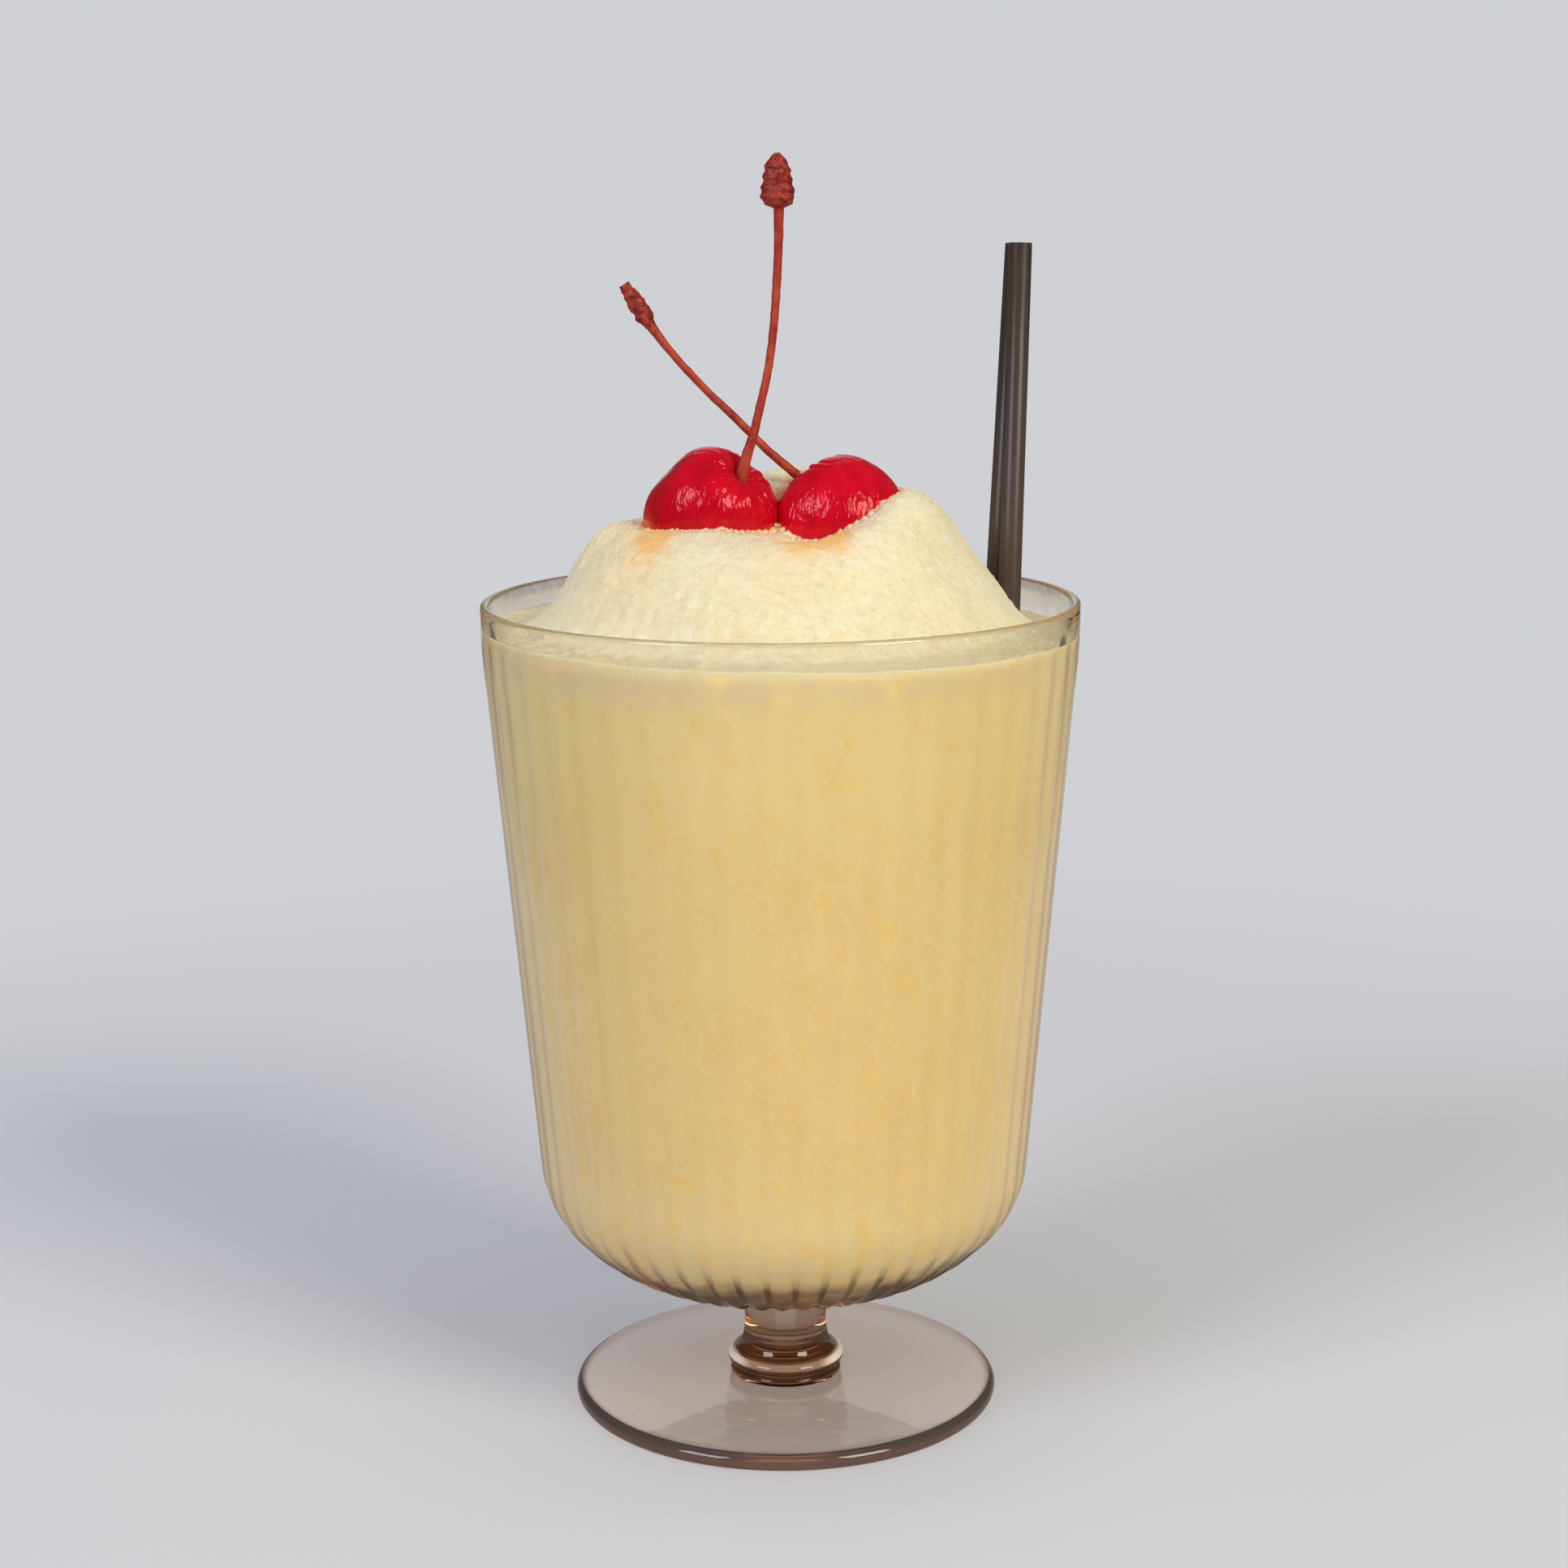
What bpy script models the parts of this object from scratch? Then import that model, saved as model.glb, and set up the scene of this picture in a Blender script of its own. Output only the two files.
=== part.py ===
"""A pina colada in a ribbed, stemmed glass, with two cherries on their stems and two straws.

Metres, +Z up. The origin is the middle of the foot's underside, and -Y faces the viewer.
Sizes and places below are real ones in millimetres.
"""

import math

import bmesh
import bpy
from mathutils import Vector

MM = 0.001
COLLECTION = "pina_colada"
SMOOTH_BELOW = math.radians(40)

# Clearance between pieces that touch in the real drink, and a wider one round the faceted cherries
GAP = 0.3
NEST_GAP = 0.35

# How far a cutter reaches past what it cuts
OVERSHOOT = 2.0

# Glass: rim, bowl wall and the two arcs that turn the wall under to the stem
GLASS_HEIGHT = 123.2
RIM_RADIUS = 44.0
LIP_RADIUS = 43.35
LIP_ROUND = 0.65
LIP_FLAT = 0.1
RIM_FLARE_START = 110.0
WALL_FOOT_Z = 37.4
WALL_FOOT_RADIUS = 36.93
WALL_TOP_RADIUS = 43.3
CORNER_ARC = 16.2
BOTTOM_ARC = 25.3
ARC_JOIN = math.radians(48.4)
BOWL_UNDERSIDE = 19.6

# Glass thickness at the rim, down the wall and under the drink
RIM_WALL = 1.25
MIDDLE_WALL = 2.0
CORNER_WALL = 2.6
BOTTOM_WALL = 4.0

# Ribs: convex flutes side by side, with a narrow groove between two of them
RIBS = 48
RIB_TURN = math.radians(2.8)
RIB_DEPTH = 0.45
RIB_TOP = 120.6
RIB_FULL = 118.0
RIB_START_RADIUS = 8.0

# Foot, knop and stem
FOOT_RADIUS = 32.3
FOOT_EDGE = 2.6
FOOT_EDGE_ROUND = 1.1
FOOT_CROWN = 3.7
FOOT_FILLET = 4.0
KNOP_RADIUS = 9.0
KNOP_Z = 5.5
STEM_RADIUS = 6.3
STEM_FLARE = 8.6
STEM_ROOT = BOWL_UNDERSIDE + 2.0

# Drink: level at the wall, then a mound with a tilted top and steep flanks
LEVEL = 119.1
LEVEL_TILT = -0.016
MOUND_TOP = 136.8
MOUND_TILT = 0.121
FLANK_RADIUS = 28.8
FLANK_Z = 129.5
FLANK_SIDE_SLOPE = 1.4
FLANK_FRONT_SLOPE = 1.05
SHOULDER_BLEND = 6.0
LEVEL_BLEND = 4.0
PEAK = (0.5, 9.5, 4.8, 7.0)
HOLLOW = (4.0, -8.5, -4.6, 6.0)

# Cherries: middle, radius, and the way that the stem dimple faces
CHERRIES = {
    "left": ((-9.8, -2.0, 136.3), 9.35, (0.59, -0.35, 0.72)),
    "right": ((8.9, 0.0, 134.9), 9.1, (-0.52, 0.42, 0.74)),
}

# Uneven form of each cherry: the way that a lobe or a flat faces, its share of the radius, its spread
LOBES = {
    "left": (((-0.95, -0.1, -0.3), 0.08, 32), ((-0.72, 0.0, 0.69), -0.08, 26), ((-0.1, 0.1, 1.0), 0.02, 22)),
    "right": (((0.93, 0.0, 0.36), 0.04, 30), ((0.2, -0.9, 0.4), -0.03, 40)),
}
DIMPLE_DEPTH = 0.22
DIMPLE_WIDTH = 26
BLOSSOM_DEPTH = 0.05

# Stems: a route of places from inside the cherry to the bud, and the radius at each
STEMS = {
    "left": (
        (-6.0, -4.4, 139.4, 0.95),
        (-5.5, -4.5, 141.4, 0.95),
        (-4.8, -4.4, 144.2, 0.80),
        (-3.7, -4.2, 147.6, 0.70),
        (-2.4, -3.9, 152.8, 0.66),
        (-1.4, -3.6, 157.4, 0.66),
        (-0.7, -3.3, 162.6, 0.66),
        (-0.2, -3.0, 168.9, 0.68),
        (0.1, -2.7, 174.6, 0.70),
        (0.2, -2.4, 179.6, 0.75),
        (-0.1, -2.2, 187.3, 0.75),
    ),
    "right": (
        (4.4, 3.4, 139.3, 0.80),
        (1.9, 3.0, 141.6, 0.70),
        (-1.7, 2.8, 144.7, 0.62),
        (-6.3, 2.6, 149.4, 0.58),
        (-10.0, 2.6, 152.9, 0.56),
        (-13.4, 2.6, 156.5, 0.56),
        (-16.4, 2.6, 160.0, 0.60),
        (-18.6, 2.6, 163.0, 0.75),
        (-22.3, 2.6, 168.9, 0.75),
    ),
}
STEM_STEPS = 3

# Bud at the stem's end, as (share of its length, radius)
BUDS = {
    "left": ((0.0, 0.8), (0.07, 2.0), (0.2, 2.45), (0.4, 2.15), (0.65, 1.95), (0.85, 1.35), (1.0, 0.4)),
    "right": ((0.0, 0.75), (0.2, 1.2), (0.45, 1.35), (0.75, 1.1), (1.0, 0.65)),
}

# Straws: outer radius, wall, length, and the lower end and a point higher up on the axis
STRAW_RADIUS = 1.7
STRAW_WALL = 0.22
STRAW_LENGTH = 133.5
STRAWS = {
    "front": ((32.0, 3.5, 41.0), (35.8, 11.1, 174.2)),
    "back": ((28.2, 6.7, 41.0), (35.5, 14.85, 174.0)),
}

# Steps round each kind of turned piece
RIB_STEPS = 3
BOWL_STEPS = 60
FOOT_STEPS = 48
STRAW_STEPS = 16
MOUND_RINGS = 12
ARC_SEGMENTS = 3
CHERRY_STEPS = 24

# Colour, roughness and clearness of each material
MATERIALS = {
    "smoky_glass": ((0.55, 0.45, 0.40, 1.0), 0.03, 0.9),
    "iced_drink": ((0.88, 0.74, 0.42, 1.0), 0.6, 0.0),
    "cherry_red": ((0.62, 0.01, 0.02, 1.0), 0.12, 0.0),
    "stem_red": ((0.38, 0.05, 0.03, 1.0), 0.4, 0.0),
    "straw_black": ((0.035, 0.03, 0.025, 1.0), 0.3, 0.0),
}


def clear_scene():
    for obj in list(bpy.data.objects):
        bpy.data.objects.remove(obj, do_unlink=True)


def new_collection(name):
    collection = bpy.data.collections.new(name)
    bpy.context.scene.collection.children.link(collection)
    return collection


def new_material(name):
    """A Principled material with the named colour, roughness and clearness."""
    colour, roughness, clearness = MATERIALS[name]
    material = bpy.data.materials.new(name)
    material.use_nodes = True
    shader = material.node_tree.nodes["Principled BSDF"]
    shader.inputs["Base Color"].default_value = colour
    shader.inputs["Roughness"].default_value = roughness
    shader.inputs["Metallic"].default_value = 0.0
    shader.inputs["Transmission Weight"].default_value = clearness
    material.diffuse_color = colour
    return material


def add_object(name, data, collection, material=None):
    obj = bpy.data.objects.new(name, data)
    collection.objects.link(obj)
    if material:
        data.materials.append(material)
    return obj


def make_helper(obj):
    """Marks a form that only cuts or joins, so that it isn't a piece of its own."""
    obj.hide_render = True
    obj.display_type = "WIRE"
    return obj


def shade(mesh):
    mesh.shade_smooth()
    mesh.set_sharp_from_angle(angle=SMOOTH_BELOW)


def evaluated_mesh(obj):
    """The object's mesh as its modifiers or its bevel make it, with coincident points merged."""
    bpy.context.view_layer.update()
    graph = bpy.context.evaluated_depsgraph_get()
    mesh = bpy.data.meshes.new_from_object(obj.evaluated_get(graph))
    work = bmesh.new()
    work.from_mesh(mesh)
    bmesh.ops.remove_doubles(work, verts=work.verts, dist=0.001 * MM)
    work.to_mesh(mesh)
    work.free()
    return mesh


def as_mesh_object(obj, collection, material=None):
    """Replaces a curve or a modified object by a plain mesh object of the same name and place."""
    name = obj.name
    place = obj.matrix_world.copy()
    mesh = evaluated_mesh(obj)
    bpy.data.objects.remove(obj, do_unlink=True)
    mesh.materials.clear()
    result = add_object(name, mesh, collection, material)
    result.matrix_world = place
    return result


def turned(name, profile, steps, collection, material=None, closed=False):
    """Turns a profile of (radius, height), given from its top down its outer side, round Z."""
    mesh = bpy.data.meshes.new(name)
    points = [(radius * MM, 0.0, height * MM) for radius, height in profile]
    edges = [(i, i + 1) for i in range(len(points) - 1)]
    if closed:
        edges.append((len(points) - 1, 0))
    mesh.from_pydata(points, edges, [])
    obj = add_object(name, mesh, collection)
    screw = obj.modifiers.new("turn", "SCREW")
    screw.axis = "Z"
    screw.steps = steps
    screw.render_steps = steps
    screw.use_merge_vertices = True
    screw.merge_threshold = 0.001 * MM
    return as_mesh_object(obj, collection, material)


def add_boolean(obj, other, operation):
    modifier = obj.modifiers.new(f"{operation.lower()}_{other.name}", "BOOLEAN")
    modifier.object = other
    modifier.operation = operation
    modifier.solver = "EXACT"


def mix(a, b, share):
    return a + (b - a) * share


def ramp(value, low, high):
    """0 below low, 1 above high, with a smooth rise between them."""
    share = min(max((value - low) / (high - low), 0.0), 1.0)
    return share * share * (3 - 2 * share)


def smooth_min(a, b, blend):
    overlap = max(blend - abs(a - b), 0.0) / blend
    return min(a, b) - overlap * overlap * blend / 4


def smooth_max(a, b, blend):
    return -smooth_min(-a, -b, blend)


def arc_points(centre, radius, start, end, segments):
    """Points with outward normals on an arc; an angle of 0 points straight down."""
    found = []
    for i in range(segments + 1):
        angle = mix(start, end, i / segments)
        normal = (math.sin(angle), -math.cos(angle))
        found.append((centre[0] + radius * normal[0], centre[1] + radius * normal[1], normal))
    return found


def bowl_surface():
    """The bowl's outside from the axis to below the lip, as (radius, height, outward normal)."""
    wall_lean = math.atan2(WALL_TOP_RADIUS - WALL_FOOT_RADIUS, RIM_FLARE_START - WALL_FOOT_Z)
    wall_angle = math.pi / 2 - wall_lean
    wall_normal = (math.sin(wall_angle), -math.cos(wall_angle))
    corner_centre = (
        WALL_FOOT_RADIUS - CORNER_ARC * wall_normal[0],
        WALL_FOOT_Z - CORNER_ARC * wall_normal[1],
    )
    bottom_centre = (
        corner_centre[0] - (BOTTOM_ARC - CORNER_ARC) * math.sin(ARC_JOIN),
        BOWL_UNDERSIDE + BOTTOM_ARC,
    )
    surface = [(0.0, BOWL_UNDERSIDE, (0.0, -1.0))]
    surface += arc_points(bottom_centre, BOTTOM_ARC, 0.0, ARC_JOIN, ARC_SEGMENTS)
    surface += arc_points(corner_centre, CORNER_ARC, ARC_JOIN, wall_angle, ARC_SEGMENTS)[1:]
    surface.append((WALL_TOP_RADIUS, RIM_FLARE_START, wall_normal))
    for height in (RIB_FULL, RIB_TOP):
        share = (height - RIM_FLARE_START) / (RIB_TOP - RIM_FLARE_START)
        radius = mix(WALL_TOP_RADIUS, RIM_RADIUS, 1 - (1 - share) ** 2)
        surface.append((radius, height, (1.0, 0.0)))
    return surface


def wall_thickness(height):
    if height < WALL_FOOT_Z:
        share = ramp(height, BOWL_UNDERSIDE, BOWL_UNDERSIDE + BOTTOM_WALL)
        return mix(BOTTOM_WALL, CORNER_WALL, share)
    share = (height - WALL_FOOT_Z) / (RIM_FLARE_START - WALL_FOOT_Z)
    if share < 1:
        return mix(CORNER_WALL, MIDDLE_WALL, share)
    return mix(MIDDLE_WALL, RIM_WALL, ramp(height, RIM_FLARE_START, GLASS_HEIGHT))


def bowl_inside(inset=0.0):
    """The inner outline from the axis up, moved further in by the inset."""
    outline = []
    for radius, height, normal in bowl_surface():
        depth = wall_thickness(height) + inset
        outline.append((max(radius - normal[0] * depth, 0.0), height - normal[1] * depth))
    return outline


def press_ribs(mesh):
    """Moves the outer wall in between the ribs, all the way from the rim to the stem."""
    for vertex in mesh.vertices:
        place = vertex.co
        radius = math.hypot(place.x, place.y) / MM
        height = place.z / MM
        if radius < RIB_START_RADIUS:
            continue
        phase = math.atan2(place.y, place.x) / math.tau * RIBS % 1.0
        groove = (2 * phase - 1) ** 2
        depth = RIB_DEPTH * radius / RIM_RADIUS * (1 - ramp(height, RIB_FULL, RIB_TOP))
        factor = 1 - depth * groove / radius
        place.x *= factor
        place.y *= factor


def make_bowl_form(helpers):
    """The solid outside of the bowl, with its ribs and rounded lip."""
    outside = [(radius, height) for radius, height, _ in bowl_surface()]
    lip = [
        (0.0, GLASS_HEIGHT),
        (LIP_RADIUS, GLASS_HEIGHT),
        (RIM_RADIUS - 0.3 * LIP_ROUND, GLASS_HEIGHT - 0.3 * LIP_ROUND),
        (RIM_RADIUS, GLASS_HEIGHT - LIP_ROUND),
    ]
    form = turned("bowl", lip + outside[::-1], RIBS * RIB_STEPS, helpers)
    press_ribs(form.data)
    form.rotation_euler.z = RIB_TURN
    return form


def make_inside_form(helpers):
    """The hollow of the bowl, with the inner round of the lip at its top."""
    over_lip = [
        (0.0, GLASS_HEIGHT + OVERSHOOT),
        (LIP_RADIUS - LIP_FLAT, GLASS_HEIGHT + OVERSHOOT),
        (LIP_RADIUS - LIP_FLAT, GLASS_HEIGHT - LIP_FLAT),
        (RIM_RADIUS - RIM_WALL, GLASS_HEIGHT - LIP_ROUND),
    ]
    profile = over_lip + bowl_inside()[::-1]
    return make_helper(turned("bowl_inside_form", profile, BOWL_STEPS, helpers))


def make_foot_form(helpers):
    """Stem, knop and foot, rooted in the glass under the drink."""
    stem = [
        (0.0, STEM_ROOT),
        (STEM_FLARE, STEM_ROOT),
        (STEM_FLARE - 0.3, BOWL_UNDERSIDE - 0.1),
        (STEM_RADIUS + 0.6, BOWL_UNDERSIDE - 1.6),
        (STEM_RADIUS, BOWL_UNDERSIDE - 4.5),
        (STEM_RADIUS, KNOP_Z + 4.0),
        (STEM_RADIUS + 0.7, KNOP_Z + 2.0),
    ]
    knop = [
        (KNOP_RADIUS - 0.5, KNOP_Z + 1.0),
        (KNOP_RADIUS, KNOP_Z),
        (KNOP_RADIUS - 0.3, KNOP_Z - 0.9),
    ]
    foot_top = [
        (KNOP_RADIUS + 0.2, FOOT_CROWN),
        (KNOP_RADIUS + FOOT_FILLET, FOOT_CROWN - 0.35),
        (FOOT_RADIUS - FOOT_EDGE_ROUND, FOOT_EDGE),
    ]
    foot_edge = [
        (FOOT_RADIUS - 0.3 * FOOT_EDGE_ROUND, FOOT_EDGE - 0.4 * FOOT_EDGE_ROUND),
        (FOOT_RADIUS, FOOT_EDGE / 2),
        (FOOT_RADIUS - 0.3 * FOOT_EDGE_ROUND, 0.4 * FOOT_EDGE_ROUND),
        (FOOT_RADIUS - FOOT_EDGE_ROUND, 0.0),
        (0.0, 0.0),
    ]
    profile = stem + knop + foot_top + foot_edge
    return make_helper(turned("foot_form", profile, FOOT_STEPS, helpers))


def make_glass(parts, helpers, material):
    bowl = make_bowl_form(helpers)
    add_boolean(bowl, make_foot_form(helpers), "UNION")
    add_boolean(bowl, make_inside_form(helpers), "DIFFERENCE")
    bowl.name = "glass"
    glass = as_mesh_object(bowl, parts, material)
    shade(glass.data)
    return glass


def bump(x, y, shape):
    """A rounded rise, or a hollow if its height is negative: middle, height and spread."""
    middle_x, middle_y, height, spread = shape
    away = (x - middle_x) ** 2 + (y - middle_y) ** 2
    return height * math.exp(-away / (2 * spread * spread))


def mound_height(x, y):
    """The drink's upper surface over (x, y), without the nests of the cherries."""
    radius = math.hypot(x, y)
    facing = abs(y) / radius if radius else 0.0
    slope = mix(FLANK_SIDE_SLOPE, FLANK_FRONT_SLOPE, facing * facing)
    top = MOUND_TOP + MOUND_TILT * x + bump(x, y, PEAK) + bump(x, y, HOLLOW)
    flank = FLANK_Z - slope * (radius - FLANK_RADIUS)
    level = LEVEL + LEVEL_TILT * x
    return smooth_max(smooth_min(top, flank, SHOULDER_BLEND), level, LEVEL_BLEND)


def make_drink_form(parts, material):
    """The drink's solid: the bowl's inside below, and the mound above its level."""
    below = [point for point in bowl_inside(GAP) if point[1] <= RIB_FULL]
    top_radius, top_height = below[-1]
    wall_slope = (WALL_TOP_RADIUS - WALL_FOOT_RADIUS) / (RIM_FLARE_START - WALL_FOOT_Z)
    contact_radius = top_radius + wall_slope * (LEVEL - top_height)
    rings = [(contact_radius * i / MOUND_RINGS, LEVEL) for i in range(MOUND_RINGS + 1)]
    form = turned("drink", rings + below[::-1], BOWL_STEPS, parts, material)
    for vertex in form.data.vertices:
        if vertex.co.z / MM > (LEVEL + RIB_FULL) / 2:
            vertex.co.z = mound_height(vertex.co.x / MM, vertex.co.y / MM) * MM
    return form


def swell(direction, facing, amount, spread):
    """The share by which a surface moves out where its direction is near the one that faces."""
    away = math.degrees(direction.angle(Vector(facing))) / spread
    return amount * math.exp(-away * away)


def cherry_form(name, side, grow, collection):
    """A round fruit with its stem dimple, a faint dimple opposite and uneven lobes, grown by a gap."""
    middle, size, facing = CHERRIES[side]
    turn = Vector(facing).to_track_quat("Z", "Y")
    work = bmesh.new()
    bmesh.ops.create_uvsphere(work, u_segments=CHERRY_STEPS, v_segments=CHERRY_STEPS // 2, radius=1.0)
    for vertex in work.verts:
        direction = turn @ vertex.co
        share = 1 - swell(vertex.co, (0, 0, 1), DIMPLE_DEPTH, DIMPLE_WIDTH)
        share -= swell(vertex.co, (0, 0, -1), BLOSSOM_DEPTH, DIMPLE_WIDTH)
        share += sum(swell(direction, *lobe) for lobe in LOBES[side])
        vertex.co *= (size * share + grow) * MM
    mesh = bpy.data.meshes.new(name)
    work.to_mesh(mesh)
    work.free()
    cherry = add_object(name, mesh, collection)
    cherry.location = Vector(middle) * MM
    cherry.rotation_euler = turn.to_euler()
    return cherry


def make_cherry(side, socket, parts, material):
    cherry = cherry_form(f"cherry_{side}", side, 0.0, parts)
    cherry.data.materials.append(material)
    shade(cherry.data)
    add_boolean(cherry, socket, "DIFFERENCE")
    return cherry


def make_nest(side, helpers):
    """The hollow that a cherry lies in, a gap larger than the cherry all round."""
    return make_helper(cherry_form(f"nest_{side}", side, NEST_GAP, helpers))


def smooth_route(places, steps):
    """Points on a smooth curve through the places, with the given steps between two of them."""
    points = []
    last = len(places) - 1
    for i in range(last):
        before = Vector(places[max(i - 1, 0)])
        start = Vector(places[i])
        end = Vector(places[i + 1])
        after = Vector(places[min(i + 2, last)])
        for step in range(steps):
            t = step / steps
            points.append(
                0.5
                * (
                    2 * start
                    + (end - before) * t
                    + (2 * before - 5 * start + 4 * end - after) * t**2
                    + (3 * start - before - 3 * end + after) * t**3
                )
            )
    points.append(Vector(places[last]))
    return points


def tube(name, points, collection):
    """A round tube through points of (x, y, z, radius), as a mesh object."""
    curve = bpy.data.curves.new(name, "CURVE")
    curve.dimensions = "3D"
    curve.bevel_depth = MM
    curve.bevel_resolution = 2
    curve.use_fill_caps = True
    spline = curve.splines.new("POLY")
    spline.points.add(len(points) - 1)
    for target, (x, y, z, radius) in zip(spline.points, points):
        target.co = (x * MM, y * MM, z * MM, 1.0)
        target.radius = radius
    return as_mesh_object(add_object(name, curve, collection), collection)


def make_stem(side, parts, material):
    """A cherry's stem, with the bud that it hung by at its far end."""
    places = [Vector(place) for place in STEMS[side]]
    bud_start = places[-2].to_3d()
    bud_end = places[-1].to_3d()
    points = [tuple(point) for point in smooth_route(places[:-1], STEM_STEPS)][:-1]
    for share, radius in BUDS[side]:
        points.append((*bud_start.lerp(bud_end, share), radius))
    stem = tube(f"stem_{side}", points, parts)
    stem.data.materials.append(material)
    shade(stem.data)
    return stem


def make_socket(side, helpers):
    """The hole that the lower part of a stem stands in, wider than the stem by the gap."""
    places = [Vector(place) for place in STEMS[side][:4]]
    outward = (places[1] - places[0]).to_3d().normalized()
    first = places[0].to_3d() - outward * GAP
    points = [(*first, places[0][3] + GAP)]
    for place in smooth_route(places, STEM_STEPS):
        points.append((place.x, place.y, place.z, place.w + GAP))
    return make_helper(tube(f"socket_{side}", points, helpers))


def place_on_axis(obj, ends):
    """Stands a piece that was made upright at the lower end, along the line to the upper one."""
    low, high = Vector(ends[0]), Vector(ends[1])
    obj.location = low * MM
    obj.rotation_euler = (high - low).to_track_quat("Z", "Y").to_euler()


def make_straw(which, parts, material):
    profile = [
        (STRAW_RADIUS - STRAW_WALL, STRAW_LENGTH),
        (STRAW_RADIUS, STRAW_LENGTH),
        (STRAW_RADIUS, 0.0),
        (STRAW_RADIUS - STRAW_WALL, 0.0),
    ]
    straw = turned(f"straw_{which}", profile, STRAW_STEPS, parts, material, closed=True)
    place_on_axis(straw, STRAWS[which])
    shade(straw.data)
    return straw


def make_straw_bore(which, helpers):
    """The channel that a straw stands in, a gap wider and deeper than the straw."""
    radius = STRAW_RADIUS + GAP
    profile = [(0.0, STRAW_LENGTH), (radius, STRAW_LENGTH), (radius, -GAP), (0.0, -GAP)]
    bore = turned(f"bore_{which}", profile, STRAW_STEPS, helpers)
    place_on_axis(bore, STRAWS[which])
    return make_helper(bore)


def make_drink(sockets, parts, helpers, material):
    drink = make_drink_form(parts, material)
    cutters = [make_nest(side, helpers) for side in CHERRIES]
    cutters += [make_straw_bore(which, helpers) for which in STRAWS]
    cutters += sockets.values()
    for cutter in cutters:
        add_boolean(drink, cutter, "DIFFERENCE")
    shade(drink.data)
    return drink


def main():
    clear_scene()
    parts = new_collection(COLLECTION)
    helpers = new_collection("helpers")
    materials = {name: new_material(name) for name in MATERIALS}
    make_glass(parts, helpers, materials["smoky_glass"])
    sockets = {side: make_socket(side, helpers) for side in CHERRIES}
    make_drink(sockets, parts, helpers, materials["iced_drink"])
    for side in CHERRIES:
        make_cherry(side, sockets[side], parts, materials["cherry_red"])
        make_stem(side, parts, materials["stem_red"])
    for which in STRAWS:
        make_straw(which, parts, materials["straw_black"])


main()
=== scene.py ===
"""Looks of a pina colada in a ribbed, stemmed glass, with two cherries and two straws.

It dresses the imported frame: metres, +Z up, the origin under the middle of the foot, -Y to the viewer.
Sizes and places below are in millimetres, angles in degrees unless they are made radians.
"""

import math

import bmesh
import bpy
import numpy as np
from mathutils import Matrix, Vector, noise


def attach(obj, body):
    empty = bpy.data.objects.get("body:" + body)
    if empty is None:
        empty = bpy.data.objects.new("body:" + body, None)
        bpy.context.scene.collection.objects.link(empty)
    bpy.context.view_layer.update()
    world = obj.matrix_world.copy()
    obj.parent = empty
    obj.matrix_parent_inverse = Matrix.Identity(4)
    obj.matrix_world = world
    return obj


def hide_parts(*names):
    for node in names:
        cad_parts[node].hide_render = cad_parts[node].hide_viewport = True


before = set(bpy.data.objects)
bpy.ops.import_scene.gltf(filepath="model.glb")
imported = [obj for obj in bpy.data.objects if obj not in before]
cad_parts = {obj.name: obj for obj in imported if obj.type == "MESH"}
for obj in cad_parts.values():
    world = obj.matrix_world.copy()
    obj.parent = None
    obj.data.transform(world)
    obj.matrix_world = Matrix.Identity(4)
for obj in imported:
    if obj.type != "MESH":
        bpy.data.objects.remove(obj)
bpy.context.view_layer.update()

MM = 0.001

# Camera, found from the ellipses of the rim and the foot: place, tilt in radians, and lens
CAMERA_PLACE = (0.36, -432.1, 182.7)
CAMERA_PITCH = 0.1995
CAMERA_ROLL = -0.007
SENSOR_WIDTH = 36.0
CAMERA_LENS = 67.93

# Glass: rim, bowl wall and the two arcs that turn the wall under to the stem
GLASS_HEIGHT = 123.2
RIM_RADIUS = 44.0
RIM_FLARE_START = 110.0
WALL_FOOT_Z = 37.4
WALL_FOOT_RADIUS = 36.93
WALL_TOP_RADIUS = 43.3
CORNER_ARC = 16.2
BOTTOM_ARC = 25.3
ARC_JOIN = math.radians(48.4)
BOWL_UNDERSIDE = 19.6

# Glass thickness at the rim, down the wall and under the drink
RIM_WALL = 1.25
MIDDLE_WALL = 2.0
CORNER_WALL = 2.6
BOTTOM_WALL = 4.0

# How finely each stretch of the glass is drawn
UNDER_STEPS = 5
ARC_STEPS = 16
WALL_STEPS = 12
FLARE_STEPS = 20
LIP_STEPS = 12
BASE_STEPS = 8

# Ribs: convex flutes side by side, and the points across each
RIBS = 48
RIB_TURN = math.radians(2.8)
RIB_DEPTH = 0.2
RIB_DEPTH_BELOW = 0.42
RIB_TOP = 121.0
RIB_FULL = 116.5
RIB_START_RADIUS = 8.0
RIB_POINTS = 12

# Stem, knop and foot, as stretches of (radius, height) from the bowl down, each a smooth curve
STEM_OUTLINE = (
    (6.8, 19.6), (6.4, 19.35), (6.25, 18.7), (6.25, 16.0),
    (6.25, 12.0), (6.4, 9.6), (6.85, 7.9), (7.6, 6.8),
)
KNOP_OUTLINE = ((7.85, 6.65), (8.35, 6.7), (8.8, 6.3), (8.9, 5.6), (8.55, 4.9), (8.0, 4.4), (7.8, 3.9))
FOOT_OUTLINE = ((8.6, 3.6), (12.0, 3.45), (18.0, 3.2), (25.0, 2.9), (31.0, 2.6))
FOOT_RADIUS = 32.3
FOOT_EDGE = 2.6

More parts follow.
